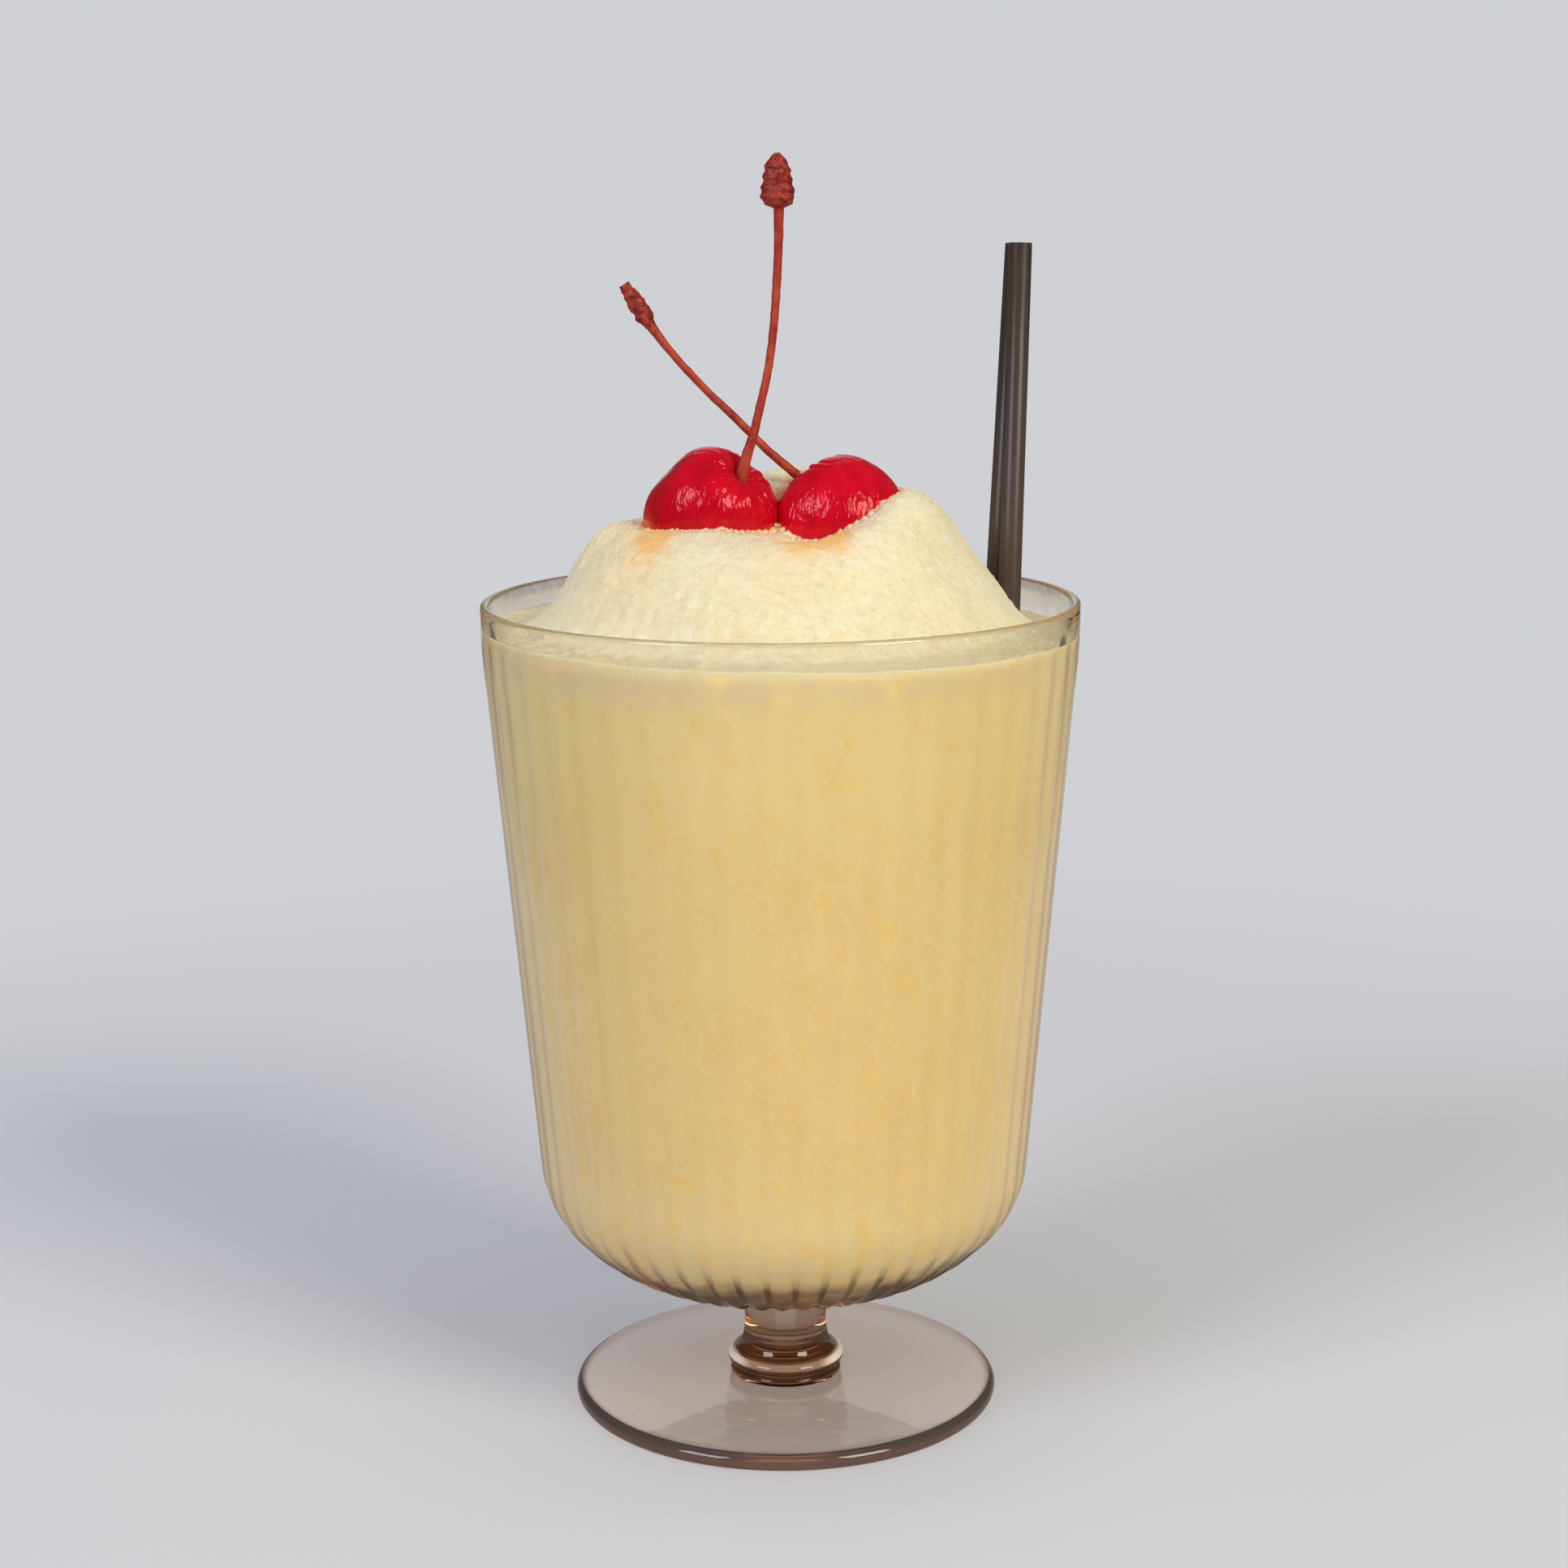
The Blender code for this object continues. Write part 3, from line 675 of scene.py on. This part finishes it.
def make_stem(side, seed, material):
    sides = STEM_SIDES
    places = np.array(STEMS[side])
    route = smooth_curve(places[:-1], STEM_STEPS)[:-1]
    shares = np.linspace(0, 1, BUD_STEPS)
    bud = mix(places[-2, :3], places[-1, :3], shares[:, None])
    centres = np.vstack((route[:, :3], bud))
    stem_radii = np.repeat(route[:, 3:], sides, axis=1)
    radii = np.vstack((stem_radii, bud_radii(side, shares, sides)))
    rings = tube_rings(centres, radii, sides)
    flat = rings.reshape(-1, 3)
    on_bud = np.repeat(np.arange(len(centres)) >= len(route), sides)
    rough = 0.0
    for further, (lump, plain, on_the_bud) in enumerate(STEM_ROUGHNESS):
        rough = rough + lumps(flat, lump, seed + further) * np.where(on_bud, on_the_bud, plain)
    outward = flat - np.repeat(centres, sides, axis=0)
    outward /= np.linalg.norm(outward, axis=1, keepdims=True)
    rings = (flat + outward * rough[:, None]).reshape(rings.shape)
    return ring_mesh(f"fruit_stem_{side}", rings[::-1], material, centres[[-1, 0]])


# Straws

def make_straw(which, material):
    low, high = (np.array(end) for end in STRAWS[which])
    way = (high - low) / np.linalg.norm(high - low)
    turn = np.array(Vector(way).to_track_quat("Z", "Y").to_matrix())
    inner = STRAW_RADIUS - STRAW_WALL
    edge = STRAW_WALL / 4
    outline = np.array((
        (inner, STRAW_LENGTH - edge),
        (inner + edge, STRAW_LENGTH),
        (STRAW_RADIUS - edge, STRAW_LENGTH),
        (STRAW_RADIUS, STRAW_LENGTH - edge),
        (STRAW_RADIUS, STRAW_LENGTH / 2),
        (STRAW_RADIUS, edge),
        (STRAW_RADIUS - edge, 0.0),
        (inner + edge, 0.0),
        (inner, edge),
        (inner, STRAW_LENGTH / 2),
    ))
    rings = turned_rings(outline, np.arange(STRAW_SIDES) / STRAW_SIDES * math.tau) @ turn.T + low
    return ring_mesh(f"sip_straw_{which}", rings, material, closed=True)


# Materials

class Material:
    """A node material with a Principled shader, and short calls to add nodes to it.

    Its place is the object's own coordinates in metres, with x, y and height as the parts.
    """

    def __init__(self, name):
        self.material = bpy.data.materials.new(name)
        self.material.use_nodes = True
        self.tree = self.material.node_tree
        self.shader = self.tree.nodes["Principled BSDF"]
        self.output = self.tree.nodes["Material Output"]
        self.place = self.node("TexCoord").outputs["Object"]
        self.x, self.y, self.height = self.node("SeparateXYZ", {0: self.place}).outputs

    def node(self, kind, inputs=(), **settings):
        """A new node; each of its inputs is a value, or another node's output to link."""
        node = self.tree.nodes.new(f"ShaderNode{kind}")
        for key, value in settings.items():
            setattr(node, key, value)
        for key, value in dict(inputs).items():
            self.feed(node.inputs[key], value)
        return node

    def feed(self, socket, value):
        if isinstance(value, bpy.types.NodeSocket):
            self.tree.links.new(value, socket)
        else:
            socket.default_value = value

    def set(self, **inputs):
        """Sets or links inputs of the shader, with underscores for the spaces in their names."""
        for key, value in inputs.items():
            self.feed(self.shader.inputs[key.replace("_", " ")], value)

    def stretched(self, *scale):
        """The object's own coordinates, with each axis stretched by its own factor."""
        return self.node("VectorMath", {0: self.place, 1: scale}, operation="MULTIPLY").outputs[0]

    def distance(self, place, point):
        """The distance to a point that is given in millimetres."""
        metres = [part * MM for part in point]
        return self.node("VectorMath", {0: place, 1: metres}, operation="DISTANCE").outputs["Value"]

    def noise(self, place, size, detail=2.0):
        """Soft noise from 0 to 1 with features of the given size in millimetres."""
        inputs = {"Vector": place, "Scale": 1 / (size * MM), "Detail": detail}
        return self.node("TexNoise", inputs).outputs["Fac"]

    def uneven(self, size, detail, reach):
        """Noise round 0 that reaches that many millimetres in all, to make a border ragged."""
        return self.times(self.minus(self.noise(self.place, size, detail), 0.5), reach * MM)

    def between(self, value, low, high, low_result=0.0, high_result=1.0):
        """The value's way from low to high as a smooth step between the two results."""
        inputs = {"Value": value, 1: low, 2: high, 3: low_result, 4: high_result}
        return self.node("MapRange", inputs, interpolation_type="SMOOTHSTEP").outputs[0]

    def within(self, value, low, high, low_result=0.0, high_result=1.0):
        """The same for a length, with low and high in millimetres."""
        return self.between(value, low * MM, high * MM, low_result, high_result)

    def maths(self, operation, a, b=0.0):
        return self.node("Math", {0: a, 1: b}, operation=operation).outputs[0]

    def plus(self, a, b):
        return self.maths("ADD", a, b)

    def minus(self, a, b):
        return self.maths("SUBTRACT", a, b)

    def times(self, product, *others):
        for other in others:
            product = self.maths("MULTIPLY", product, other)
        return product

    def aside(self):
        """How far each point is from the middle, to the left or right."""
        return self.maths("ABSOLUTE", self.x)

    def radius(self):
        """How far each point is from the glass's axis."""
        return self.distance(self.stretched(1, 1, 0), (0, 0, 0))

    def facing(self):
        """0 where the surface faces the eye and 1 where it is seen along itself, for the glass alone."""
        return self.node("LayerWeight", {"Blend": 0.5}).outputs["Facing"]

    def blend(self, share, a, b):
        """Colour a turning to colour b as the share grows."""
        node = self.node("Mix", data_type="RGBA")
        for socket, value in ((node.inputs[0], share), (node.inputs[6], a), (node.inputs[7], b)):
            self.feed(socket, value)
        return node.outputs[2]

    def layered(self, tint, layers):
        """The tint with each further colour laid over it by its own share."""
        for share, layer in layers:
            tint = self.blend(share, tint, colour(*layer))
        return tint

    def bump(self, height, depth):
        """Relief of the given depth in millimetres."""
        self.set(Normal=self.node("Bump", {"Height": height, "Distance": depth * MM}).outputs[0])


def colour(red, green, blue):
    return (red, green, blue, 1.0)


def glass_material():
    """Clear pressed glass with a smoky brown tint that deepens with its thickness, with painted light and
    shade in its tint.
    """
    glass = Material("smoky_glass")
    film = film_share(glass)
    ring = painted_knop_ring(glass)
    aside = glass.aside()
    # Painted light on the knop's ring: a peach painted reflection of the drink in front, cream painted
    # highlights at its ends
    ring_painted_light = glass.blend(glass.within(aside, *RING_SIDE), colour(*RING_PAINTED_REFLECTION), colour(*RING_PAINTED_HIGHLIGHT))
    cloud = glass.times(ring, glass.within(aside, *RING_SIDE, *RING_CLOUD))
    cloud = glass.plus(cloud, haze_share(glass))
    # Painted light: the foot's edge is clouded so that it shows light where the real edge passes it
    cloud = glass.plus(cloud, glass.times(foot_edge_painted_light(glass), FOOT_EDGE_PAINTED_LIGHT))
    tint = glass.blend(ring, glass_tint(glass, film), ring_painted_light)
    glass.set(Base_Color=tint, Transmission_Weight=glass.minus(1.0, cloud), IOR=1.5)
    smear = glass.between(glass.noise(glass.place, 3.0), 0.3, 0.7, 0.0, 0.02)
    glass.set(Roughness=glass.plus(smear, glass.times(film, 0.14)))
    glass.bump(glass.noise(glass.stretched(1, 1, 0.4), 7.0), 0.03)
    absorption = {"Color": colour(*ABSORPTION), "Density": ABSORPTION_DENSITY}
    glass.tree.links.new(glass.node("VolumeAbsorption", absorption).outputs[0], glass.output.inputs["Volume"])
    paths = glass.node("LightPath")
    clear = glass.node("BsdfTransparent", {"Color": colour(*CLEAR)}).outputs[0]
    surface = glass.shader.outputs[0]
    for kind in ("Is Shadow Ray", "Is Diffuse Ray"):
        surface = glass.node("MixShader", {0: paths.outputs[kind], 1: surface, 2: clear}).outputs[0]
    glass.tree.links.new(surface, glass.output.inputs["Surface"])
    return glass.material


def rib_wave(material):
    """A wave round the glass that is 1 in each groove between the ribs and -1 on each rib."""
    turn = material.maths("ARCTAN2", material.y, material.x)
    return material.maths("COSINE", material.times(material.minus(turn, RIB_TURN), float(RIBS)))


def haze_share(glass):
    """A faint haze on the bowl where its wall is seen aslant."""
    facing = glass.facing()
    aslant = glass.times(glass.between(facing, 0.35, 0.72, 0.0, HAZE), glass.between(facing, 0.9, 0.8))
    return glass.times(aslant, glass.within(glass.height, 30, 45), glass.within(glass.height, 118.5, 116))


def film_share(glass):
    """Where melted ice has left a film on the glass, above the drink's level at the back."""
    above = glass.within(glass.plus(glass.height, glass.uneven(4.0, 3.0, 3.0)), 118.5, 120.5)
    return glass.times(above, glass.within(glass.y, *BACK_HALF))


def painted_knop_ring(glass):
    """The upper side of the knop's ring, clouded so that it shows a painted reflection of the drink above it
    and painted highlights at its ends.
    """
    upper = glass.times(glass.within(glass.height, 5.6, 6.1), glass.within(glass.height, 7.2, 6.8))
    return glass.times(upper, glass.within(glass.radius(), 7.9, 8.3))


def foot_edge_painted_light(glass):
    """The rounded edge of the foot, clouded and grey-brown as painted light, standing in for the light that
    the real edge passes.
    """
    return glass.times(glass.within(glass.height, 4.0, 3.6), glass.within(glass.radius(), 30.2, 31.2))


def smudge_share(glass):
    """Uneven smudges on both sides, where the wall flares under the rim."""
    patches = glass.between(glass.noise(glass.place, 1.8), 0.45, 0.65)
    flare = glass.times(glass.within(glass.height, 118.2, 119.2), glass.within(glass.height, 122, 121))
    return glass.times(patches, flare, glass.within(glass.aside(), 18, 32))


def glass_tint(glass, film):
    """Brown where the glass is seen along its surface, with painted shade in its grooves, where the bowl
    turns under and at the foot of the knop, painted light on the foot's edge, and the marks on its rim, stem
    and knop.
    """
    height, radius, facing = glass.height, glass.radius(), glass.facing()
    on_bowl = glass.times(glass.within(height, 18.9, 19.6), glass.within(height, 119.5, 117.5))
    in_knop = glass.times(glass.within(radius, 11, 9.5), glass.within(height, 3.6, 3.9))
    behind = glass.within(glass.y, *BACK_HALF)
    in_front = glass.minus(1.0, behind)
    groove = glass.times(glass.between(rib_wave(glass), -0.6, 1.0), on_bowl)
    mottled = glass.between(glass.noise(glass.place, 1.6), 0.3, 0.6, 0.4, 1.0)
    # Painted shade along the grooves where the wall is seen aslant, deeper and browner near the outline
    painted_groove_shade_aslant = glass.times(groove, glass.between(facing, 0.15, 0.6))
    painted_groove_shade_near_outline = glass.times(groove, glass.between(facing, 0.6, 0.88))
    outline = glass.times(on_bowl, glass.between(facing, 0.84, 0.97))
    # Browner where the bowl turns under: the tint of its thicker glass and painted shade of its underside
    painted_shade_turned_under = glass.times(on_bowl, glass.within(height, 31, 24))
    back_rim = glass.times(behind, glass.within(height, 120.6, 122), mottled)
    knop = glass.times(in_knop, glass.within(height, 10.5, 7.5))
    # Painted shade: a dark brown band where the knop meets the foot
    painted_shade_knop_foot = glass.times(in_knop, glass.within(height, 5.8, 5.3))
    stem_top = glass.times(glass.within(height, 14.5, 17), glass.within(radius, 7.2, 6.8))
    front_rim = glass.times(in_front, glass.within(height, 122.3, 122.8))
    return glass.layered(colour(1, 1, 1), (
        (painted_groove_shade_aslant, (0.95, 0.92, 0.88)),
        (painted_groove_shade_near_outline, (0.73, 0.52, 0.43)),
        (outline, (0.52, 0.36, 0.30)),
        (painted_shade_turned_under, (0.55, 0.37, 0.24)),
        (film, (0.93, 0.88, 0.73)),
        (back_rim, (0.60, 0.54, 0.51)),
        (knop, (0.62, 0.47, 0.32)),
        (painted_shade_knop_foot, (0.13, 0.065, 0.025)),
        (stem_top, (0.95, 0.88, 0.82)),
        # painted light: the foot's edge is tinted grey-brown
        (foot_edge_painted_light(glass), (0.72, 0.56, 0.47)),
        (front_rim, (0.85, 0.85, 0.81)),
        (smudge_share(glass), (0.91, 0.87, 0.79)),
    ))


def drink_material():
    """Blended ice: pale on top, deeper and mottled behind the glass, stained by the cherries' syrup, with
    painted light on the mound's left and painted shade along the level.
    """
    drink = Material("blended_ice")
    tall = drink.stretched(1, 1, 0.75)
    pulp = drink.between(drink.noise(tall, 3.2, 1.0), 0.5, 0.78)
    pulp = drink.times(pulp, drink.within(drink.aside(), 32, 14, 0.35, 1.0))
    cloud = drink.between(drink.noise(tall, 9.0), 0.3, 0.7)
    fleck = drink.between(drink.noise(tall, 1.1), 0.4, 0.8)
    body = drink.layered(drink.blend(cloud, colour(0.845, 0.685, 0.30), colour(0.87, 0.725, 0.335)), (
        (drink.within(drink.height, 55, 28), (0.83, 0.73, 0.41)),
        (drink.within(drink.height, 85, 112), (0.895, 0.765, 0.37)),
        (pulp, (0.885, 0.69, 0.25)),
        (fleck, (0.89, 0.745, 0.36)),
    ))
    # Painted shade along the drink's level seen through the glass: darker in patches just under it, and a
    # greyer band at the level itself
    smear = drink.between(drink.noise(tall, 5.0), 0.2, 0.55)
    smear = drink.times(drink.within(drink.height, 112, 117), smear)
    ragged = drink.plus(drink.height, drink.uneven(3.0, 2.0, 1.5))
    body = drink.layered(shade_by_ribs(drink, body), (
        (smear, (0.80, 0.69, 0.40)),
        (drink.within(ragged, 117.6, 118.9), (0.75, 0.65, 0.395)),
    ))
    pale = drink.layered(drink.blend(cloud, colour(0.845, 0.72, 0.43), colour(0.86, 0.745, 0.475)), (
        (fleck, (0.90, 0.80, 0.57)),
        # Painted light: the mound's left side is made paler, standing in for light the ice carries through
        # from the lit right side
        (drink.within(drink.x, -14, -30), (1.0, 0.80, 0.49)),
    ))
    upper = drink.within(ragged, 119.4, 120.2)
    tint = syrup_stains(drink, drink.blend(upper, body, pale))
    drink.set(Base_Color=tint, Roughness=0.5, IOR=1.33, Specular_IOR_Level=0.2)
    drink.set(Subsurface_Weight=0.9, Subsurface_Radius=(1.0, 0.75, 0.45), Subsurface_Scale=3.8 * MM)
    fine = drink.times(drink.noise(drink.place, 0.25, 1.0), 0.5)
    grain = drink.plus(drink.noise(drink.place, 0.55), fine)
    drink.bump(drink.times(grain, upper), 0.2)
    return drink.material


def shade_by_ribs(drink, body):
    """The soft shade of each groove of the glass on the drink, dark where the glass turns under."""
    wave = rib_wave(drink)
    ragged = drink.plus(drink.height, drink.uneven(5.0, 2.0, 8))
    return drink.layered(body, (
        (drink.between(wave, -1.0, 1.0, 0.0, 0.07), (0.70, 0.51, 0.19)),
        (drink.times(drink.between(wave, -0.1, 0.9), drink.within(ragged, 33, 25)), (0.10, 0.045, 0.015)),
        (drink.within(ragged, 30, 25, 0.0, 0.9), (0.10, 0.045, 0.018)),
    ))


def grain_material():
    """Loose grains of ice, wet and pale, stained where the mound is."""
    grain = Material("ice_grain")
    mottled = grain.between(grain.noise(grain.place, 1.2, 1.0), 0.35, 0.65)
    tint = grain.blend(mottled, colour(0.86, 0.71, 0.42), colour(0.89, 0.76, 0.50))
    grain.set(Base_Color=syrup_stains(grain, tint), IOR=1.33, Specular_IOR_Level=0.25)
    grain.set(Roughness=grain.between(grain.noise(grain.place, 0.5, 1.0), 0.3, 0.7, 0.5, 0.7))
    grain.bump(grain.noise(grain.place, 0.2, 1.0), 0.03)
    return grain.material


def syrup_stains(drink, tint):
    """Peach where the ice meets a cherry, and orange in patches where syrup has run down the front."""
    ragged = drink.uneven(2.2, 3.0, 4.0)
    for middle, size, _ in CHERRIES.values():
        away = drink.plus(drink.distance(drink.place, middle), ragged)
        halo = drink.within(away, size + HALO_WIDTH, size, 0.0, 0.75)
        tint = drink.blend(halo, tint, colour(*HALO_COLOUR))
    flat = drink.stretched(1, STAIN_SHORT, 0)
    for x, y, reach, strength in STAINS:
        away = drink.plus(drink.distance(flat, (x, STAIN_SHORT * y, 0)), ragged)
        patch = drink.within(away, reach, 0.4 * reach, 0.0, strength)
        tint = drink.blend(patch, tint, colour(*STAIN_COLOUR))
    return tint


def cherry_material():
    """Syrupy, slightly clear red skin with darker streaks from the stem down."""
    cherry = Material("cherry_skin")
    cloud = cherry.between(cherry.noise(cherry.place, 4.0, 3.0), 0.3, 0.7)
    streak = cherry.between(cherry.noise(cherry.stretched(1, 1, 0.3), 2.4), 0.4, 0.8)
    tip = cherry.within(cherry.distance(cherry.place, CHERRY_TIP), 5, 1)
    tint = cherry.layered(colour(0.54, 0.002, 0.014), (
        (cloud, (0.64, 0.004, 0.018)),
        (streak, (0.46, 0.002, 0.013)),
        (tip, (0.80, 0.09, 0.02)),
    ))
    cherry.set(Base_Color=tint, Roughness=0.09, IOR=1.4, Specular_IOR_Level=0.65)
    cherry.set(Specular_Tint=colour(1.0, 0.55, 0.58))
    cherry.set(Subsurface_Weight=0.35, Subsurface_Radius=(1.0, 0.15, 0.1), Subsurface_Scale=2.0 * MM)
    cherry.bump(cherry.noise(cherry.stretched(1, 1, 0.35), 0.6), 0.2)
    return cherry.material


def stem_material():
    """Woody stem dyed brick red, with fine streaks and darker grooves."""
    stem = Material("dyed_stem")
    streak = stem.between(stem.noise(stem.stretched(1, 1, 0.12), 0.35), 0.35, 0.7)
    patch = stem.between(stem.noise(stem.place, 2.5, 3.0), 0.35, 0.7)
    on_bud = stem.maths("MAXIMUM", stem.within(stem.height, 178.5, 180), stem.within(stem.x, -17, -18.5))
    crack = stem.times(on_bud, stem.between(stem.noise(stem.place, 0.8), 0.42, 0.62))
    tint = stem.layered(colour(0.40, 0.035, 0.018), (
        (streak, (0.30, 0.018, 0.012)),
        (patch, (0.46, 0.065, 0.025)),
        (crack, (0.19, 0.014, 0.013)),
    ))
    stem.set(Base_Color=tint, Roughness=0.42, IOR=1.4, Specular_IOR_Level=0.35)
    stem.set(Subsurface_Weight=0.2, Subsurface_Radius=(1.0, 0.25, 0.15), Subsurface_Scale=0.5 * MM)
    stem.bump(stem.noise(stem.place, 0.3, 3.0), 0.06)
    return stem.material


def straw_material():
    """Thin brown-black plastic with faint streaks along it."""
    straw = Material("straw_plastic")
    streak = straw.between(straw.noise(straw.stretched(1, 1, 0.01), 0.8), 0.3, 0.7)
    tint = straw.layered(colour(0.040, 0.028, 0.020), (
        (streak, (0.068, 0.050, 0.038)),
        (straw.within(straw.height, 165, 130, 0.0, 0.8), (0.086, 0.060, 0.046)),
    ))
    straw.set(Base_Color=tint, Roughness=0.3, IOR=1.5, Specular_IOR_Level=0.25)
    straw.bump(straw.noise(straw.stretched(1, 1, 0.1), 1.5, 1.0), 0.02)
    return straw.material


def floor_material():
    """Pale matt paper that fades into the backdrop further out; glass sees dark beyond its sides, and
    wherever the floor is mirrored it is darker, a painted shade in its reflections.
    """
    floor = Material("pale_paper")
    paths = floor.node("LightPath")
    beside = floor.within(floor.aside(), *PAPER_SIDE)
    dark = floor.times(beside, floor.minus(1.0, paths.outputs["Is Camera Ray"]))
    mirrored = floor.maths("MINIMUM", paths.outputs["Glossy Depth"], 1.0)
    dark = floor.maths("MAXIMUM", dark, floor.times(mirrored, MIRROR_DARK))
    grain = floor.between(floor.noise(floor.place, 60.0, 3.0), 0.3, 0.7)
    tint = floor.blend(grain, colour(*FLOOR_COLOUR), colour(*(0.99 * part for part in FLOOR_COLOUR)))
    floor.set(Base_Color=floor.blend(dark, tint, colour(*ROOM)), Roughness=0.9, Specular_IOR_Level=0.1)
    glow = floor.node("Emission", {"Color": floor.blend(dark, colour(*BACKDROP), colour(*ROOM))})
    share = floor.within(floor.distance(floor.place, (0, 0, 0)), *FLOOR_FADE)
    both = floor.node("MixShader", {0: share, 1: floor.shader.outputs[0], 2: glow.outputs[0]})
    floor.tree.links.new(both.outputs[0], floor.output.inputs["Surface"])
    return floor.material


# Stage

def make_floor():
    """A round pale floor just under the foot."""
    work = bmesh.new()
    bmesh.ops.create_circle(work, cap_ends=True, radius=FLOOR_RADIUS * MM, segments=96)
    mesh = bpy.data.meshes.new("floor")
    work.to_mesh(mesh)
    work.free()
    floor = add_object("floor", mesh, floor_material())
    floor.location.z = -FLOOR_DROP * MM


def make_softbox(name, azimuth, elevation, distance, width, height, power, tint):
    light = bpy.data.lights.new(name, "AREA")
    light.shape = "RECTANGLE"
    light.size = width * MM
    light.size_y = height * MM
    light.energy = power
    light.color = tint
    lamp = bpy.data.objects.new(name, light)
    bpy.context.scene.collection.objects.link(lamp)
    turn, rise = math.radians(azimuth), math.radians(elevation)
    way = Vector((math.sin(turn) * math.cos(rise), -math.cos(turn) * math.cos(rise), math.sin(rise)))
    lamp.location = (Vector(LIGHT_AIM) + way * distance) * MM
    lamp.rotation_euler = way.to_track_quat("Z", "Y").to_euler()
    lamp.visible_camera = False


def make_world():
    """Soft light all round, and for what is mirrored or seen through glass a backdrop in a dark room."""
    world = bpy.data.worlds.new("studio")
    world.use_nodes = True
    bpy.context.scene.world = world
    tree = world.node_tree

    def share_between(value, limits):
        node = tree.nodes.new("ShaderNodeMapRange")
        node.interpolation_type = "SMOOTHSTEP"
        node.inputs["From Min"].default_value, node.inputs["From Max"].default_value = limits
        tree.links.new(value, node.inputs["Value"])
        return node.outputs[0]

    def blend(share, a, b):
        node = tree.nodes.new("ShaderNodeMix")
        node.data_type = "RGBA"
        tree.links.new(share, node.inputs[0])
        for socket, value in ((node.inputs[6], a), (node.inputs[7], b)):
            if isinstance(value, bpy.types.NodeSocket):
                tree.links.new(value, socket)
            else:
                socket.default_value = colour(*value)
        return node.outputs[2]

    way = tree.nodes.new("ShaderNodeTexCoord")
    parts = tree.nodes.new("ShaderNodeSeparateXYZ")
    tree.links.new(way.outputs["Generated"], parts.inputs[0])
    aside = tree.nodes.new("ShaderNodeMath")
    aside.operation = "ABSOLUTE"
    tree.links.new(parts.outputs["X"], aside.inputs[0])

    def surroundings(side, room):
        """The backdrop behind the glass, and the room beside, above and in front of it."""
        straight_on = blend(share_between(aside.outputs[0], side), room, BACKDROP)
        behind = blend(share_between(parts.outputs["Y"], BACKDROP_FRONT), room, straight_on)
        return blend(share_between(parts.outputs["Z"], BACKDROP_TOP), behind, room)

    sides = blend(share_between(parts.outputs["X"], SIDE_TURN), SIDE_LEFT, SIDE_RIGHT)
    light = blend(share_between(parts.outputs["Z"], CEILING_START), sides, CEILING)
    paths = tree.nodes.new("ShaderNodeLightPath")
    light = blend(paths.outputs["Is Glossy Ray"], light, surroundings(BACKDROP_SIDE, ROOM))
    light = blend(paths.outputs["Is Transmission Ray"], light, surroundings(BACKDROP_THROUGH, ROOM_THROUGH))
    light = blend(paths.outputs["Is Camera Ray"], light, BACKDROP)
    tree.links.new(light, tree.nodes["Background"].inputs["Color"])


def make_camera():
    data = bpy.data.cameras.new("photo_camera")
    data.sensor_fit = "HORIZONTAL"
    data.sensor_width = SENSOR_WIDTH
    data.lens = CAMERA_LENS
    data.clip_start = 0.01
    camera = bpy.data.objects.new("photo_camera", data)
    bpy.context.scene.collection.objects.link(camera)
    turn = Matrix.Rotation(math.pi / 2 - CAMERA_PITCH, 4, "X") @ Matrix.Rotation(CAMERA_ROLL, 4, "Z")
    camera.matrix_world = Matrix.Translation(Vector(CAMERA_PLACE) * MM) @ turn
    bpy.context.scene.camera = camera


def make_stage():
    make_camera()
    make_world()
    make_floor()
    for name, settings in SOFTBOXES.items():
        make_softbox(name, *settings)
    bpy.context.scene.view_settings.view_transform = "Standard"
    bpy.context.scene.cycles.glossy_bounces = 8


def dress(piece, node=None):
    """Lets a piece ride on the root part, and hides the node that it stands for."""
    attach(piece, "root")
    if node:
        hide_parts(node)


def make_drink_pieces():
    drink, top, normals = make_drink(drink_material())
    dress(drink, "drink")
    grains = grain_material()
    dress(make_crystals(top, normals, grains))
    dress(make_crumbs(top, normals, grains))


def make_garnish():
    skin, wood, plastic = cherry_material(), stem_material(), straw_material()
    for seed, side in enumerate(CHERRIES, 1):
        dress(make_cherry(side, seed, skin), f"cherry_{side}")
        dress(make_stem(side, seed, wood), f"stem_{side}")
    for which in STRAWS:
        dress(make_straw(which, plastic), f"straw_{which}")


make_stage()
dress(make_glass(glass_material()), "glass")
make_drink_pieces()
make_garnish()
